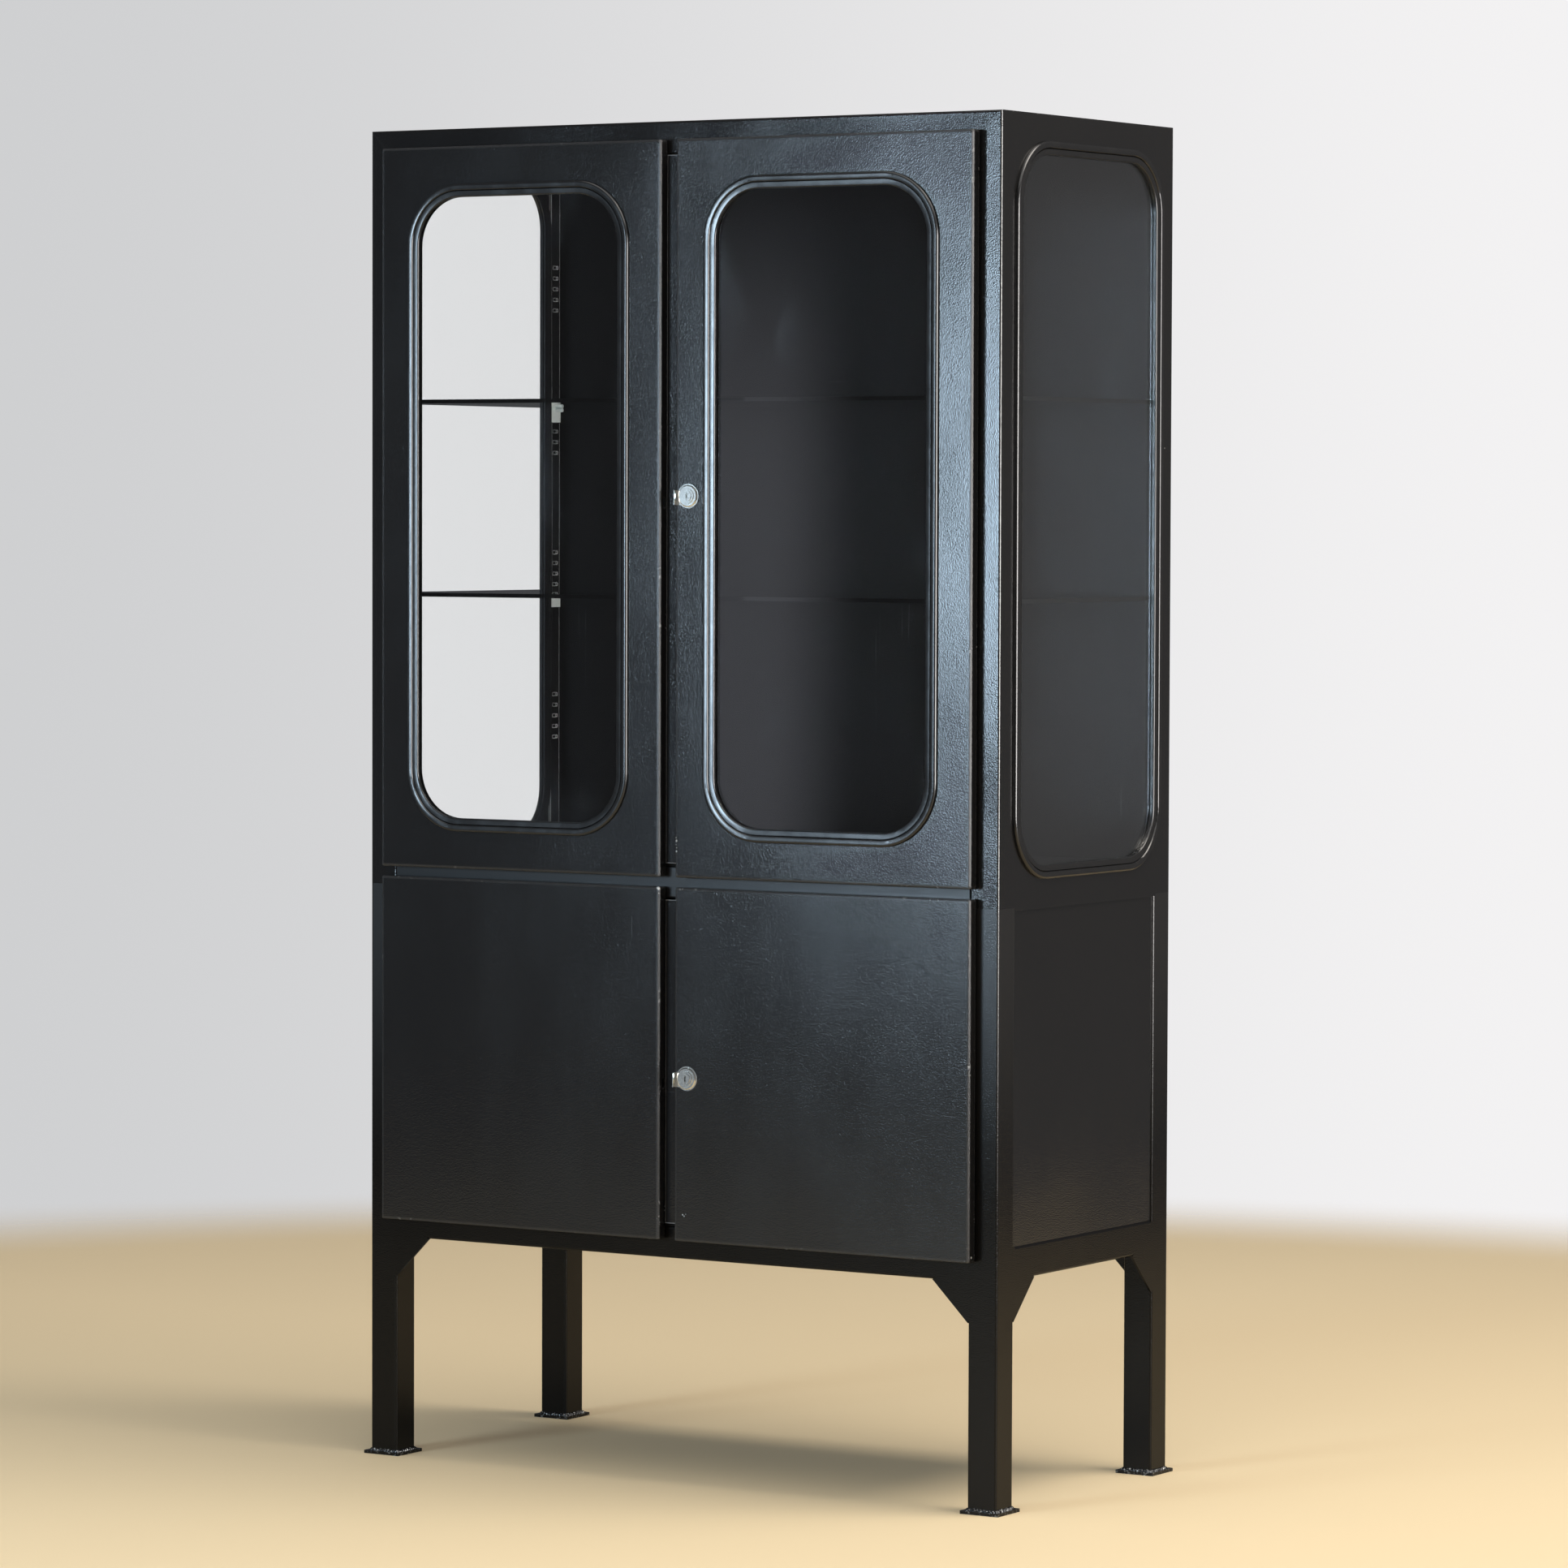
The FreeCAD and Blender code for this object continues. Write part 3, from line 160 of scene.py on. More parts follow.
def enamel_coat():
    """Sprayed enamel: orange peel, slow waves in the sheet, wipe marks, hairline scratches and chips."""
    group, given, made = shader_group(
        "enamel_coat",
        [("Paint", "NodeSocketColor", (*BLACK, 1.0)),
         ("Gloss Roughness", "NodeSocketFloat", 0.13),
         ("Wave Height", "NodeSocketFloat", 0.002),
         ("Peel Height", "NodeSocketFloat", 0.00015),
         ("Wear", "NodeSocketFloat", 0.5),
         ("Rub", "NodeSocketFloat", 0.015),
         ("Flecks", "NodeSocketFloat", 0.0),
         ("Edge Width", "NodeSocketFloat", 0.0018),
         ("Soften", "NodeSocketFloat", 0.0),
         ("Shift", "NodeSocketVector", (0.0, 0.0, 0.0))],
        [("Color", "NodeSocketColor"), ("Roughness", "NodeSocketFloat"), ("Metallic", "NodeSocketFloat"),
         ("Normal", "NodeSocketVector")])
    place = own_place(group)
    sheet = vector_maths(group, "ADD", place, given.outputs["Shift"], result="Vector")
    cloud = noise(group, place, scale=3.1, detail=4.0)
    wipe = noise(group, place, scale=16.0, detail=5.0, stretch=(1.0, 1.0, 0.35))
    peel = noise(group, place, scale=700.0, detail=1.0)
    wave = noise(group, sheet, scale=4.6, detail=1.0)
    ripple = noise(group, sheet, scale=11.0, detail=1.0)

    # Hairline scratches, upright and level, in a few patches
    upright = noise(group, place, scale=260.0, detail=2.0, stretch=(1.0, 1.0, 0.012))
    level = noise(group, place, scale=240.0, detail=2.0, stretch=(0.02, 1.0, 1.0))
    patches = spread(group, noise(group, place, scale=9.0, detail=2.0), 0.56, 0.7)
    scratch = maths(group, "MAXIMUM", spread(group, upright, 0.70, 0.74), spread(group, level, 0.72, 0.76))
    scratch = times(group, scratch, patches)

    # Edges, later lightened towards grey as partly rubbed paint and partly a painted highlight, with chips
    # bitten out of them here and there
    edge = add(group, "ShaderNodeBevel", Radius=given.outputs["Edge Width"])
    edge.samples = 4
    flat = group.nodes.new("ShaderNodeNewGeometry").outputs["Normal"]
    facing = vector_maths(group, "DOT_PRODUCT", edge.outputs[0], flat)
    rim = times(group, spread(group, facing, 0.995, 0.9), given.outputs["Wear"], clamp=True)
    ragged = noise(group, place, scale=150.0, detail=4.0)
    bitten = spread(group, noise(group, place, scale=14.0, detail=2.0), 0.52, 0.66)
    chip = times(group, rim, times(group, spread(group, ragged, 0.60, 0.66), bitten))

    # The single knocks, ragged in outline, and flecks all over where asked
    uneven = spread(group, ragged, 0.3, 0.7, to_low=0.7, to_high=1.6)
    for x, y, z, radius in CHIPS:
        reach = times(group, vector_maths(group, "DISTANCE", place, (x, y, z)), uneven)
        chip = maths(group, "MAXIMUM", chip, spread(group, reach, radius, radius * 0.7))
    fleck = spread(group, noise(group, place, scale=330.0, detail=2.0), 0.58, 0.64)
    chip = maths(group, "MAXIMUM", chip, times(group, fleck, given.outputs["Flecks"]))

    colour = mixed(group, times(group, cloud, CLOUD_SHOWS), given.outputs["Paint"], CLOUDED_BLACK)
    colour = mixed(group, times(group, scratch, SCRATCH_SHOWS), colour, SCRATCH_GREY)
    # Edges lightened towards pale grey: partly rubbed paint, partly a painted highlight along folds and edges
    colour = mixed(group, times(group, rim, given.outputs["Rub"], clamp=True), colour, RUB_AND_HIGHLIGHT_GREY)
    colour = mixed(group, chip, colour, BARE_STEEL)
    wiped = spread(group, wipe, 0.25, 0.8, to_low=-0.012, to_high=0.022)
    rough = maths(group, "ADD", given.outputs["Gloss Roughness"], wiped)
    rough = maths(group, "ADD", rough, times(group, scratch, SCRATCH_ROUGHNESS))
    rough = maths(group, "ADD", rough, times(group, chip, CHIP_ROUGHNESS))
    height = times(group, wave, given.outputs["Wave Height"])
    height = maths(group, "ADD", height, times(group, ripple, RIPPLE_HEIGHT))
    height = maths(group, "ADD", height, times(group, peel, given.outputs["Peel Height"]))
    height = maths(group, "SUBTRACT", height, times(group, chip, CHIP_DEPTH))
    rounded = mixed(group, given.outputs["Soften"], flat, edge.outputs[0], kind="VECTOR")
    bump = add(group, "ShaderNodeBump", Strength=1.0, Distance=1.0, Height=height, Normal=rounded)
    put(group, made.inputs["Color"], colour)
    put(group, made.inputs["Roughness"], rough)
    put(group, made.inputs["Metallic"], times(group, chip, CHIP_METAL))
    put(group, made.inputs["Normal"], bump.outputs[0])
    return group


def blank_material(name):
    """A new material, its node tree and its shader."""
    material = bpy.data.materials.new(name)
    material.use_nodes = True
    return material, material.node_tree, material.node_tree.nodes["Principled BSDF"]


enamel = enamel_coat()


def painted(name, paint, shine, **values):
    """Enamelled steel: the shared coat with this piece's own colour, gloss, flatness and wear."""
    material, tree, shader = blank_material(name)
    coat = tree.nodes.new("ShaderNodeGroup")
    coat.name = "coat"
    coat.node_tree = enamel
    coat.inputs["Paint"].default_value = (*paint, 1.0)
    for label, value in values.items():
        coat.inputs[label.replace("_", " ").title()].default_value = value
    put(tree, shader.inputs["Base Color"], coat.outputs["Color"])
    for label in ("Roughness", "Metallic", "Normal"):
        put(tree, shader.inputs[label], coat.outputs[label])
    shader.inputs["Specular IOR Level"].default_value = shine
    return material


def tube_coat(name, wear):
    """The stand's enamel: dull towards the feet, darker there as painted shade, with a clear gloss towards
    the case.
    """
    material = painted(name, BLACK, LOW_SHINE, wave_height=0.0008, wear=wear)
    tree = material.node_tree
    shader = tree.nodes["Principled BSDF"]
    height = add(tree, "ShaderNodeSeparateXYZ", Vector=own_place(tree)).outputs["Z"]
    towards_case = spread(tree, height, SHADED_BELOW, UNSHADED_ABOVE)
    # Painted shade: the paint darkens from the case down towards the feet
    paint = mixed(tree, towards_case, (*LOW_SHADE_BLACK, 1.0), (*BLACK, 1.0))
    put(tree, tree.nodes["coat"].inputs["Paint"], paint)
    put(tree, shader.inputs["Coat Weight"], times(tree, towards_case, UPPER_GLOSS))
    shader.inputs["Coat Roughness"].default_value = UPPER_COAT_ROUGHNESS
    return material


def finish(names, material):
    """Give CAD nodes their material."""
    for name in names:
        data = nodes[name].data
        data.materials.clear()
        data.materials.append(material)


tube_enamel = tube_coat("tube_enamel", wear=0.9)
finish([f"leg_{corner}" for corner in CORNERS], tube_enamel)
finish(RAILS, tube_enamel)
finish(["gussets"], tube_enamel)

# Ground welds: the grooves where rails, gussets and side sheets meet the legs' rounded corners are filled
# with weld, ground flush and painted over, so that no joint shows on the outside of the stand.
GROOVE = 0.0032
LAP = 0.0026
PROUD = 0.00003
UP = Vector((0, 0, 1))


def ground_weld(mesh, start, end, towards, inwards):
    """One filled groove: a three-sided bar, flush outside, lapping both pieces, its point in the groove."""
    section = (-LAP * towards - PROUD * inwards, GROOVE * towards - PROUD * inwards, GROOVE * inwards)
    ends = [[mesh.verts.new(spot + corner) for corner in section] for spot in (start, end)]
    for three in ends:
        mesh.faces.new(three)
    for i in range(3):
        j = (i + 1) % 3
        mesh.faces.new((ends[0][i], ends[0][j], ends[1][j], ends[1][i]))


def in_scene(name, data):
    """A new object for a mesh, a light or a camera, linked to the scene."""
    piece = bpy.data.objects.new(name, data)
    bpy.context.scene.collection.objects.link(piece)
    return piece


weld_mesh = bmesh.new()
gusset_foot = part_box("gussets")[0].z
rail_low, rail_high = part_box("bottom_rail_front")
sheet_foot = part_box("side_sheet_left")[0].z
gusset_tip = rail_low.z - gusset_foot - LAP
for row, into in (("front", 1), ("rear", -1)):
    for side, across in (("left", -1), ("right", 1)):
        low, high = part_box(f"leg_{row}_{side}")
        flat_width = high.x - low.x - 2 * GROOVE
        inner_x, outer_x = (high.x, low.x) if across < 0 else (low.x, high.x)
        outer_y, inner_y = (low.y, high.y) if into > 0 else (high.y, low.y)
        along_front = Vector((-across, 0, 0))
        along_side = Vector((0, into, 0))
        for corner, away, inwards in ((Vector((inner_x, outer_y, 0)), along_front, along_side),
                                      (Vector((outer_x, inner_y, 0)), along_side, along_front)):
            foot = corner + (gusset_foot + LAP) * UP
            ground_weld(weld_mesh, foot, corner + rail_high.z * UP, -away, inwards)
            level = corner + rail_low.z * UP
            ground_weld(weld_mesh, level + gusset_tip * away, level + LAP * away, UP, inwards)
            seam = corner + sheet_foot * UP - GROOVE * away
            ground_weld(weld_mesh, seam, seam - flat_width * away, UP, inwards)
bmesh.ops.recalc_face_normals(weld_mesh, faces=weld_mesh.faces)
ground_data = bpy.data.meshes.new("ground_welds")
weld_mesh.to_mesh(ground_data)
weld_mesh.free()
ground_data.materials.append(tube_coat("weld_enamel", wear=0.0))
ground_welds = in_scene("ground_welds", ground_data)
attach(ground_welds, "case")

# Foot plates: thin square plates under the legs, cut by hand, with a rough fillet weld round each leg. The
# weld's beads are left as they were run and are painted over with the rest.
BEAD_SPACING = 0.0042
BEAD_SIZE = 0.0033
BEAD_TURNS = ((-0.3, -0.3, -3.1), (0.3, 0.3, 3.1))
BEAD_SCALES = ((0.85, 0.85, 0.7), (1.25, 1.15, 1.1))
TURN_SEED = 4
SCALE_SEED = 9
CORNER_CUT = 0.002
# The foot plates take the stand's darker low black, a painted shade, with flecks of bare metal
foot_enamel = painted("foot_enamel", LOW_SHADE_BLACK, LOW_SHINE, wave_height=0.001, wear=1.0, flecks=0.25)
bead_enamel = painted("bead_enamel", BLACK, SHINE, wear=0.5, flecks=0.8)
finish(["foot_plates"], foot_enamel)


def random_vector(tree, limits, seed):
    """A vector for each point, drawn between two limits."""
    node = tree.nodes.new("FunctionNodeRandomValue")
    node.data_type = "FLOAT_VECTOR"
    node.inputs[0].default_value = limits[0]
    node.inputs[1].default_value = limits[1]
    node.inputs["Seed"].default_value = seed
    return node.outputs[0]


def weld_tree():
    """Overlapping beads along a path: each is a flattened drop, turned and sized a little differently."""
    tree = bpy.data.node_groups.new("weld_run", "GeometryNodeTree")
    kinds = {"Geometry": "Geometry", "Spacing": "Float", "Size": "Float", "Material": "Material"}
    for label, kind in kinds.items():
        tree.interface.new_socket(label, in_out="INPUT", socket_type=f"NodeSocket{kind}")
    tree.interface.new_socket("Geometry", in_out="OUTPUT", socket_type="NodeSocketGeometry")
    given = tree.nodes.new("NodeGroupInput").outputs
    made = tree.nodes.new("NodeGroupOutput")
    run = add(tree, "GeometryNodeMeshToCurve", Mesh=given["Geometry"])
    steps = add(tree, "GeometryNodeResampleCurve", Curve=run.outputs[0])
    steps.mode = "LENGTH"
    put(tree, steps.inputs["Length"], given["Spacing"])
    drop = add(tree, "GeometryNodeMeshIcoSphere", Radius=given["Size"], Subdivisions=2)
    placed = add(tree, "GeometryNodeInstanceOnPoints", Points=steps.outputs[0], Instance=drop.outputs[0],
                 Rotation=random_vector(tree, BEAD_TURNS, TURN_SEED),
                 Scale=random_vector(tree, BEAD_SCALES, SCALE_SEED))
    solid = add(tree, "GeometryNodeRealizeInstances", Geometry=placed.outputs[0])
    dressed = add(tree, "GeometryNodeSetMaterial", Geometry=solid.outputs[0], Material=given["Material"])
    put(tree, made.inputs[0], dressed.outputs[0])
    return tree


def grown(name, rings, tree, values):
    """Run a geometry tree along closed rings of points and keep the result as a plain mesh at the origin."""
    path = bpy.data.meshes.new(name + "_path")
    verts, edges = [], []
    for ring in rings:
        first = len(verts)
        verts += ring
        edges += [(first + i, first + (i + 1) % len(ring)) for i in range(len(ring))]
    path.from_pydata(verts, edges, [])
    piece = in_scene(name, path)
    grow = piece.modifiers.new("grow", "NODES")
    grow.node_group = tree
    for item in tree.interface.items_tree:
        if item.in_out == "INPUT" and item.name in values:
            grow[item.identifier] = values[item.name]
    bpy.context.view_layer.update()
    evaluated = piece.evaluated_get(bpy.context.evaluated_depsgraph_get())
    result = bpy.data.meshes.new_from_object(evaluated)
    piece.modifiers.clear()
    piece.data = result
    for face in result.polygons:
        face.use_smooth = True
    return piece


rings = []
for corner in CORNERS:
    low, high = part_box(f"leg_{corner}")
    near_x, far_x = low.x + CORNER_CUT, high.x - CORNER_CUT
    near_y, far_y = low.y + CORNER_CUT, high.y - CORNER_CUT
    ring = ((near_x, low.y), (far_x, low.y), (high.x, near_y), (high.x, far_y),
            (far_x, high.y), (near_x, high.y), (low.x, far_y), (low.x, near_y))
    rings.append([(x, y, low.z) for x, y in ring])
foot_welds = grown("foot_welds", rings, weld_tree(),
                   {"Spacing": BEAD_SPACING, "Size": BEAD_SIZE, "Material": bead_enamel})
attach(foot_welds, "case")

# Case: folded steel sheets welded to the stand, the sides bent round into the front stiles and the top bent
# down into the top rail, with mitred corners. Back, deck, floor and lower sides are plain sheet. The back's
# inner faces, the deck and the floor get a darker copy of the enamel with almost no gloss, a painted shade
# for the dim inside, and the rest is glossy.
INNER_SHADE_BLACK = (0.005, 0.005, 0.005)
INNER_SHADE_SHINE = 0.04
FACING_BACK = 0.5
LEVELS = ("upper", "lower")
BACK_SHEETS = [f"back_sheet_{level}" for level in LEVELS]
sheet_enamel = painted("sheet_enamel", BLACK, SHINE, wave_height=0.003, wear=0.6)
top_enamel = painted("top_enamel", BLACK, SHINE, wave_height=0.004, wear=0.6, shift=(0.7, 2.3, 5.1))
inner_shade_enamel = painted("inner_shade_enamel", INNER_SHADE_BLACK, INNER_SHADE_SHINE, wave_height=0.001, wear=0.3)
finish([f"{sheet}_{side}" for sheet in ("side_sheet", "lower_side_sheet") for side in SIDES], sheet_enamel)
finish(["top_sheet"], top_enamel)
finish(BACK_SHEETS + ["deck", "floor_sheet"], inner_shade_enamel)
# The back's outer faces take the glossy enamel, and its inner faces the painted-shade copy
for name in BACK_SHEETS:
    back = nodes[name].data
    back.materials.append(sheet_enamel)
    for face in back.polygons:
        face.material_index = 1 if face.normal.y > FACING_BACK else 0

# Window seals: black rubber sections pressed over the sheet's edge, with a rounded lip outside and a groove
# that holds the pane. The rubber is smooth from the die, with a little dust on it.
RUBBER_BLACK = (0.009, 0.009, 0.0095, 1.0)
RUBBER_DUST = (0.022, 0.021, 0.021, 1.0)
DUST_SHOWS = 0.35
GLAZED = [f"side_{{}}_{side}" for side in SIDES] + [f"upper_{side}_door_{{}}" for side in SIDES]


def rubber():
    """Smooth black rubber, dusty in places."""
    material, tree, shader = blank_material("seal_rubber")
    place = own_place(tree)
    dust = spread(tree, noise(tree, place, scale=34.0, detail=5.0), 0.45, 0.8)
    colour = mixed(tree, times(tree, dust, DUST_SHOWS), RUBBER_BLACK, RUBBER_DUST)
    put(tree, shader.inputs["Base Color"], colour)
    rough = spread(tree, noise(tree, place, scale=60.0), 0.2, 0.8, to_low=0.18, to_high=0.26)
    put(tree, shader.inputs["Roughness"], rough)
    grain = noise(tree, place, scale=420.0, detail=2.0)
    bump = add(tree, "ShaderNodeBump", Strength=0.6, Distance=0.00004, Height=grain)
    put(tree, shader.inputs["Normal"], bump.outputs[0])
    return material


finish([name.format("seal") for name in GLAZED], rubber())

# Panes: clear float glass cut to the windows' shape and held in the seals' grooves, without putty or beads.
# Old wipe marks and streaks dull the glass a little.
PANE_TINT = (0.985, 0.99, 0.99)
CUT_GLASS = (0.02, 0.06, 0.05, 1.0)
GLASS_IOR = 1.5
SHADOW_TINT = 0.9
MARK_ROUGHNESS = 0.1


def pane_glass(name, tint, smudge, cut_edges):
    """Glass that lets the lamps through, with wipe marks, and dark at the cut edges where those are bare."""
    material, tree, shader = blank_material(name)
    place = own_place(tree)
    wipe = spread(tree, noise(tree, place, scale=9.0, detail=6.0, stretch=(1.0, 1.0, 0.5)), 0.52, 0.74)
    streak = noise(tree, place, scale=70.0, stretch=(1.0, 1.0, 0.08))
    streak = spread(tree, streak, 0.66, 0.78, to_high=0.4)
    marks = times(tree, maths(tree, "MAXIMUM", wipe, streak), smudge)
    put(tree, shader.inputs["Roughness"], times(tree, marks, MARK_ROUGHNESS))
    shader.inputs["Base Color"].default_value = (*tint, 1.0)
    if cut_edges:
        normal = tree.nodes.new("ShaderNodeNewGeometry").outputs["Normal"]
        upward = add(tree, "ShaderNodeSeparateXYZ", Vector=normal).outputs["Z"]
        cut = spread(tree, maths(tree, "ABSOLUTE", upward), 0.6, 0.3)
        put(tree, shader.inputs["Base Color"], mixed(tree, cut, (*tint, 1.0), CUT_GLASS))
    shader.inputs["Transmission Weight"].default_value = 1.0
    shader.inputs["IOR"].default_value = GLASS_IOR
    clear = add(tree, "ShaderNodeBsdfTransparent", Color=(*(SHADOW_TINT * part for part in tint), 1.0))
    lamps = tree.nodes.new("ShaderNodeMixShader")
    put(tree, lamps.inputs[0], tree.nodes.new("ShaderNodeLightPath").outputs["Is Shadow Ray"])
    put(tree, lamps.inputs[1], shader.outputs[0])
    put(tree, lamps.inputs[2], clear.outputs[0])
    put(tree, tree.nodes["Material Output"].inputs["Surface"], lamps.outputs[0])
    return material


door_pane = pane_glass("door_pane", PANE_TINT, smudge=0.3, cut_edges=False)
finish([name.format("glass") for name in GLAZED], door_pane)

# Doors: pans of thin sheet with folded edges, hung in front of the frame, the upper pair cut out for windows.
# A flat bar behind each right-hand door's edge covers the gap between the doors, and its edges are painted
# pale grey: partly rubbed paint, partly a painted highlight.
STRIP_SHINE = 0.4
for level, wave, gloss in (("upper", 0.0022, 0.155), ("lower", 0.0008, 0.17)):
    # The doors' edges are faintly painted pale grey: partly rubbed paint, partly a painted highlight
    door_enamel = painted(f"{level}_door_enamel", BLACK, SHINE, gloss_roughness=gloss, wave_height=wave,
                          wear=0.7, rub=0.1, edge_width=0.004, soften=1.0, shift=(3.1, 0.4, 1.7))
    finish([f"{level}_{side}_door_pan" for side in SIDES], door_enamel)
# The strip's edges: pale grey, partly rubbed paint and partly a painted highlight
strip_enamel = painted("strip_enamel", BLACK, STRIP_SHINE, wave_height=0.001, wear=1.0, rub=0.45)
finish([f"{level}_cover_strip" for level in LEVELS], strip_enamel)

# Hinges: arms welded to the stiles reach round into the pans, where a bright steel pin carries a leaf inside
# each pan. Arms and leaves are painted with the stand, and the pins are bare.
DULLED = 0.72
DULL_ROUGHNESS = 0.06
MARK_RANGE = 0.04


def plated(name, colour, roughness, scale, metal=1.0):
    """Bright metal with fine polishing marks and a few dull spots."""
    material, tree, shader = blank_material(name)
    place = own_place(tree)
    dull = spread(tree, noise(tree, place, scale=scale, detail=5.0), 0.5, 0.8)
    dulled = tuple(part * DULLED for part in colour)
    put(tree, shader.inputs["Base Color"], mixed(tree, dull, (*colour, 1.0), (*dulled, 1.0)))
    marks = noise(tree, place, scale=scale * 9)
    polished = spread(tree, marks, 0.3, 0.7, to_low=roughness, to_high=roughness + MARK_RANGE)
    put(tree, shader.inputs["Roughness"], maths(tree, "ADD", times(tree, dull, DULL_ROUGHNESS), polished))
    bump = add(tree, "ShaderNodeBump", Strength=0.5, Distance=0.00003, Height=marks)
    put(tree, shader.inputs["Normal"], bump.outputs[0])
    shader.inputs["Metallic"].default_value = metal
    return material


bright_steel = plated("bright_steel", (0.62, 0.62, 0.63), roughness=0.24, scale=90.0)
finish(["hinge_arms"], tube_enamel)
finish([f"{level}_{side}_hinge_leaves" for level in LEVELS for side in SIDES], tube_enamel)
finish(["hinge_pins"], bright_steel)

# Locks: a nickel-plated rosette and plug with a key slot on a plate whose edge is bent out as a finger pull.
# Behind the door a case holds the bolt, which the plug drives by a small pinion.
LOCK_PIECES = ("lock_case", "lock_plug", "pull_plate")
nickel = plated("nickel", (0.68, 0.67, 0.63), roughness=0.155, scale=160.0)
finish([f"{level}_{piece}" for level in LEVELS for piece in LOCK_PIECES], nickel)
finish([f"{level}_lock_bolt" for level in LEVELS], bright_steel)

# Slide bolts: a flat steel bolt with a knob behind each left-hand door's free edge, pushed up by hand.
# It runs in a painted bracket.
finish([f"{level}_slide_bolt_guide" for level in LEVELS], tube_enamel)
finish([f"{level}_slide_bolt" for level in LEVELS], bright_steel)

# Shelves: two glass plates with bare cut edges, laid on pegged zinc clips that hook into slotted rails. The
# rails are painted with the case, and the slots' edges are painted pale grey as a painted highlight.
SHELF_TINT = (0.86, 0.93, 0.91)
RAIL_SHINE = 0.4
# The slots' edges are painted pale grey: a painted highlight
rail_enamel = painted("rail_enamel", BLACK, RAIL_SHINE, wave_height=0.0005, wear=1.0, rub=1.0)
clip_zinc = plated("clip_zinc", (0.80, 0.82, 0.80), roughness=0.4, scale=120.0, metal=0.3)
shelf_glass = pane_glass("shelf_glass", SHELF_TINT, smudge=0.1, cut_edges=True)
finish(["shelf_rails"], rail_enamel)
finish(["shelf_clips"], clip_zinc)
finish([f"glass_shelf_{level}" for level in LEVELS], shelf_glass)

# Room: a plain pale floor that fades into the pale background, a cool light to the left of the camera, and
# broad warmer lights overhead. A bright panel to the right shows in gloss and glass, and lights nothing matt.
FLOOR_COLOUR = (0.66, 0.53, 0.335, 1.0)
FLOOR_ROUGHNESS = 0.6
FLOOR_SHINE = 0.1
FLOOR_FADE = (2.45, 3.2)
FLOOR_REACH = 3.3


def floor_material():
    """A plain matt floor that turns clear with the distance from the cabinet."""
    material, tree, shader = blank_material("floor_pale")
    shader.inputs["Base Color"].default_value = FLOOR_COLOUR
    shader.inputs["Roughness"].default_value = FLOOR_ROUGHNESS
    shader.inputs["Specular IOR Level"].default_value = FLOOR_SHINE
    distance = vector_maths(tree, "DISTANCE", own_place(tree), (0.0, 0.0, 0.0))
    blend = tree.nodes.new("ShaderNodeMixShader")
    put(tree, blend.inputs[0], spread(tree, distance, *FLOOR_FADE))
    put(tree, blend.inputs[1], shader.outputs[0])
    put(tree, blend.inputs[2], tree.nodes.new("ShaderNodeBsdfTransparent").outputs[0])
    put(tree, tree.nodes["Material Output"].inputs["Surface"], blend.outputs[0])
    return material


floor_mesh = bpy.data.meshes.new("floor")
floor_corners = [(x * FLOOR_REACH, y * FLOOR_REACH, 0) for x, y in ((-1, -1), (1, -1), (1, 1), (-1, 1))]
floor_mesh.from_pydata(floor_corners, [], [(0, 1, 2, 3)])
floor_mesh.materials.append(floor_material())
floor = in_scene("floor", floor_mesh)

# Background: the camera and clear glass see a pale wall, glossy surfaces a dimmer room that is lighter to
# the right and has one bright upright band, and everything else gets a plain even light.
WALL_LEFT = (0.62, 0.625, 0.635, 1.0)
WALL_RIGHT = (0.90, 0.89, 0.895, 1.0)
WALL_THROUGH_GLASS = (0.93, 0.93, 0.94, 1.0)
MIRRORED_LEFT = (0.06, 0.061, 0.065, 1.0)
MIRRORED_RIGHT = (0.24, 0.235, 0.235, 1.0)
MIRRORED_BAND = (0.50, 0.51, 0.57, 1.0)
EVEN_LIGHT = (0.42, 0.42, 0.43, 1.0)
WALL_TURNS_PALE = (-0.65, -0.41)
ROOM_TURNS_LIGHT = (-0.2, 0.7)
BAND_LEFT_EDGE = (-0.556, -0.544)
BAND_RIGHT_EDGE = (-0.522, -0.536)
BAND_TOP_EDGE = (0.06, 0.0)
world = bpy.data.worlds.new("pale_room")
bpy.context.scene.world = world
world.use_nodes = True
room = world.node_tree
path = room.nodes.new("ShaderNodeLightPath").outputs
bounced = maths(room, "ADD", path["Glossy Depth"], path["Diffuse Depth"], clamp=True)
through = maths(room, "SUBTRACT", path["Is Transmission Ray"], bounced, clamp=True)
seen = maths(room, "MAXIMUM", path["Is Camera Ray"], through)
heading = room.nodes.new("ShaderNodeTexCoord").outputs["Generated"]
way = add(room, "ShaderNodeSeparateXYZ", Vector=heading).outputs
wall = mixed(room, spread(room, way["X"], *WALL_TURNS_PALE), WALL_LEFT, WALL_RIGHT)
wall = mixed(room, through, wall, WALL_THROUGH_GLASS)
band = times(room, spread(room, way["X"], *BAND_LEFT_EDGE), spread(room, way["X"], *BAND_RIGHT_EDGE))
band = times(room, band, spread(room, way["Z"], *BAND_TOP_EDGE))
mirrored = mixed(room, spread(room, way["X"], *ROOM_TURNS_LIGHT), MIRRORED_LEFT, MIRRORED_RIGHT)
mirrored = mixed(room, band, mirrored, MIRRORED_BAND)
lit = mixed(room, maths(room, "MINIMUM", path["Glossy Depth"], 1.0), EVEN_LIGHT, mirrored)
put(room, room.nodes["Background"].inputs["Color"], mixed(room, seen, lit, wall))


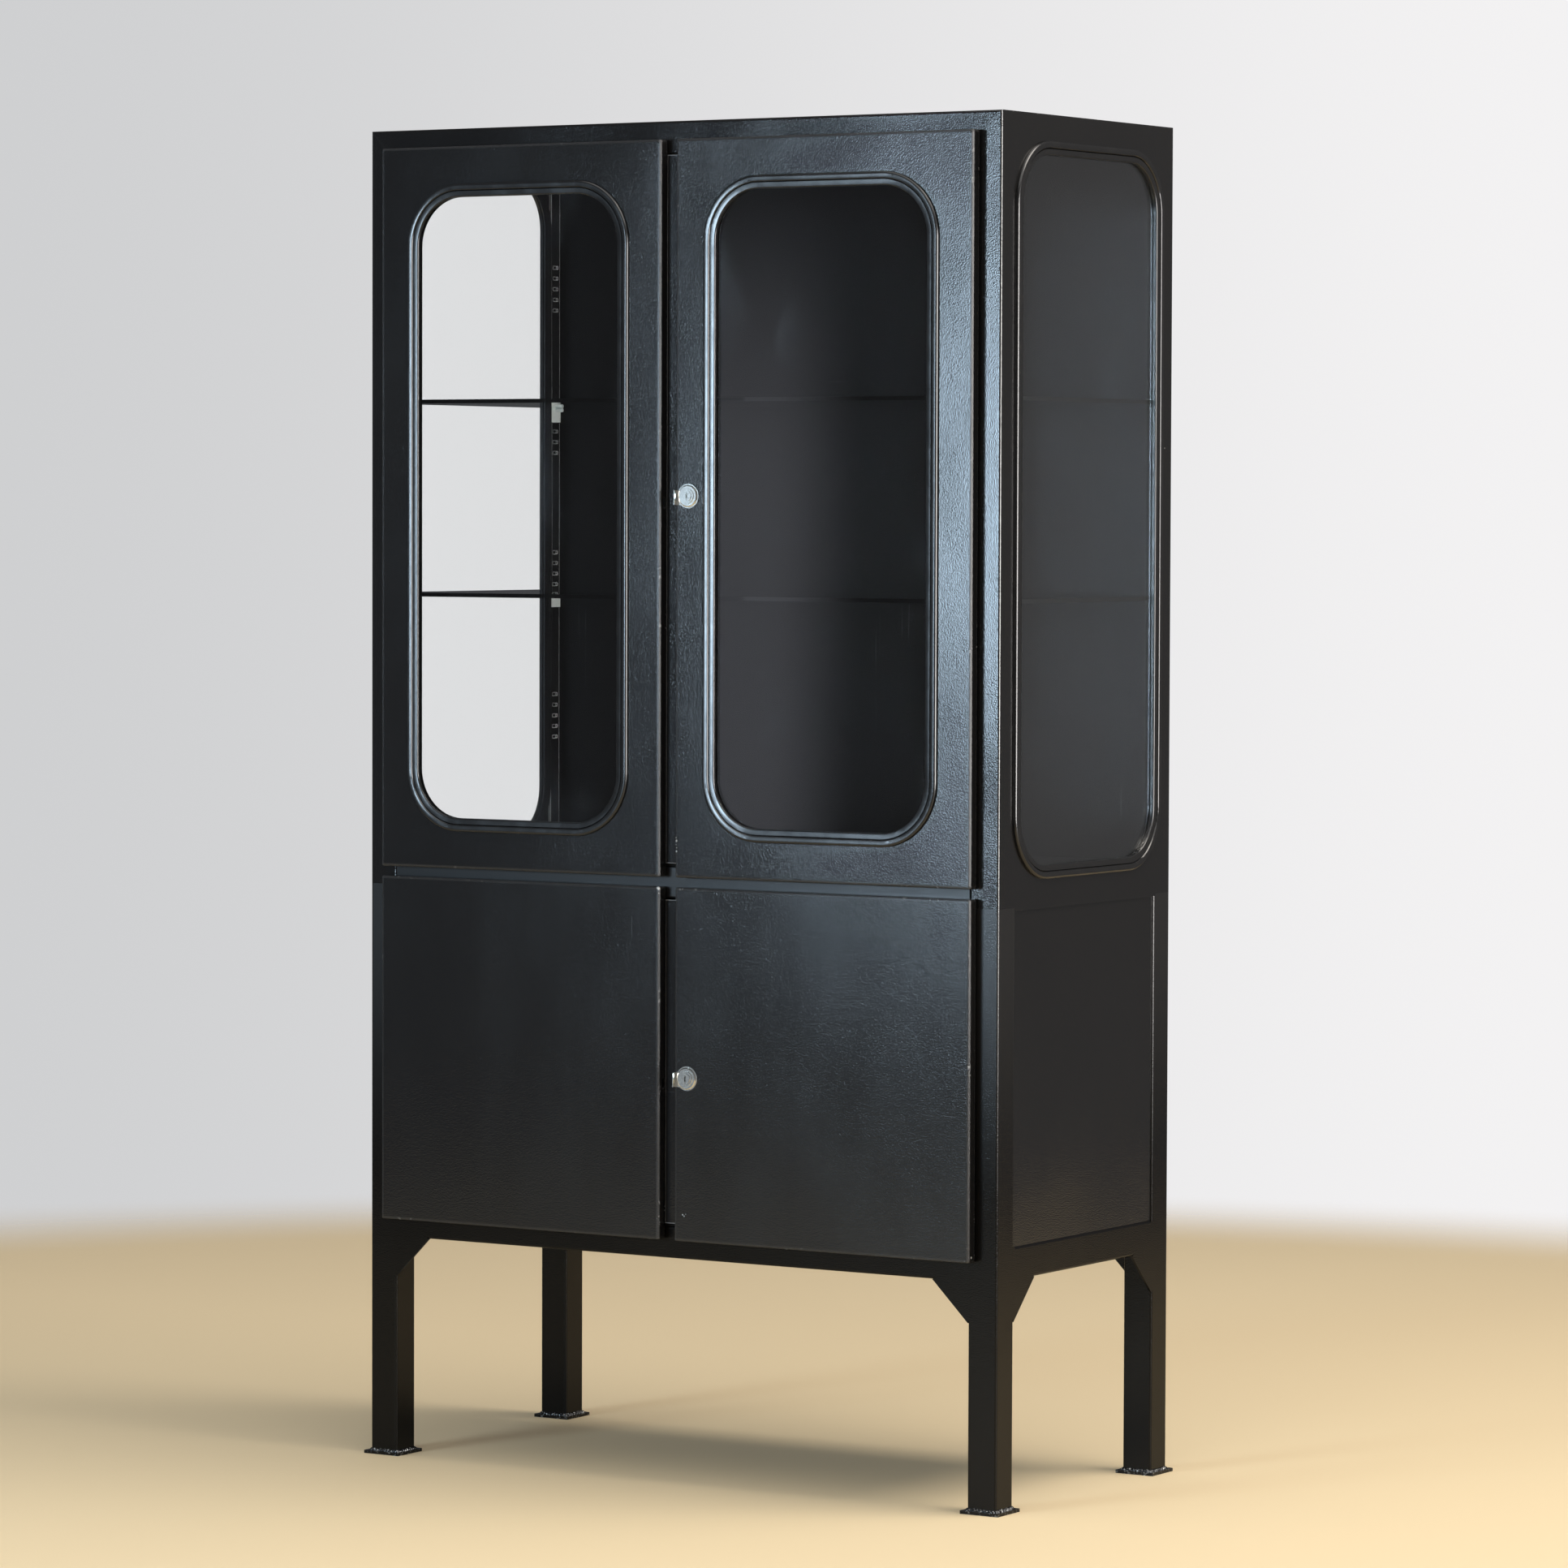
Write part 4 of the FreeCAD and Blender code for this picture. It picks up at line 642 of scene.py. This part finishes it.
def soft_light(name, place, aim, wide, tall, power, colour):
    """A rectangular lamp at a place, aimed at a point."""
    lamp = bpy.data.lights.new(name, "AREA")
    lamp.shape = "RECTANGLE"
    lamp.size = wide
    lamp.size_y = tall
    lamp.energy = power
    lamp.color = colour
    holder = in_scene(name, lamp)
    holder.location = place
    holder.rotation_euler = (Vector(aim) - Vector(place)).to_track_quat("-Z", "Y").to_euler()
    return holder


soft_light("window_light", place=(-1.5, -4.94, 1.26), aim=(0.1, -0.2, 1.22), wide=1.3, tall=1.2, power=168,
           colour=(0.64, 0.83, 1.0))
soft_light("overhead_light", place=(1.3, -1.1, 4.2), aim=(0.5, -0.3, 0.0), wide=4.6, tall=4.6, power=122,
           colour=(1.0, 0.98, 0.95))
soft_light("right_light", place=(2.5, 0.5, 4.2), aim=(1.5, 0.4, 0.0), wide=2.4, tall=2.4, power=165,
           colour=(1.0, 0.93, 0.84))
bright_panel = soft_light("side_light", place=(4.6, -0.9, 1.2), aim=(0.4, 0.0, 1.0), wide=3.0, tall=2.0,
                          power=400, colour=(1.0, 0.97, 0.95))
bright_panel.visible_diffuse = False

# Camera: where the photograph was taken from, worked out from the cabinet's own corners and edges. The focal
# length is in pixels of the photograph, and the turns are in radians.
IMAGE_SIZE = 1932
FOCAL_PIXELS = 7770.6
SENSOR_WIDTH = 36.0
FAR_LIMIT = 200.0
YAW = 0.5621
PITCH = -0.0445
ROLL = 0.0032
EYE = (4.2350, -6.67425, 1.2087)
lens = bpy.data.cameras.new("photo_camera")
lens.sensor_width = SENSOR_WIDTH
lens.lens = FOCAL_PIXELS * SENSOR_WIDTH / IMAGE_SIZE
lens.clip_end = FAR_LIMIT
camera = in_scene("photo_camera", lens)
camera.matrix_world = (Matrix.Translation(EYE) @ Matrix.Rotation(YAW, 4, "Z")
                       @ Matrix.Rotation(math.pi / 2 + PITCH, 4, "X") @ Matrix.Rotation(ROLL, 4, "Z"))
bpy.context.scene.camera = camera
bpy.context.scene.view_settings.view_transform = "Standard"
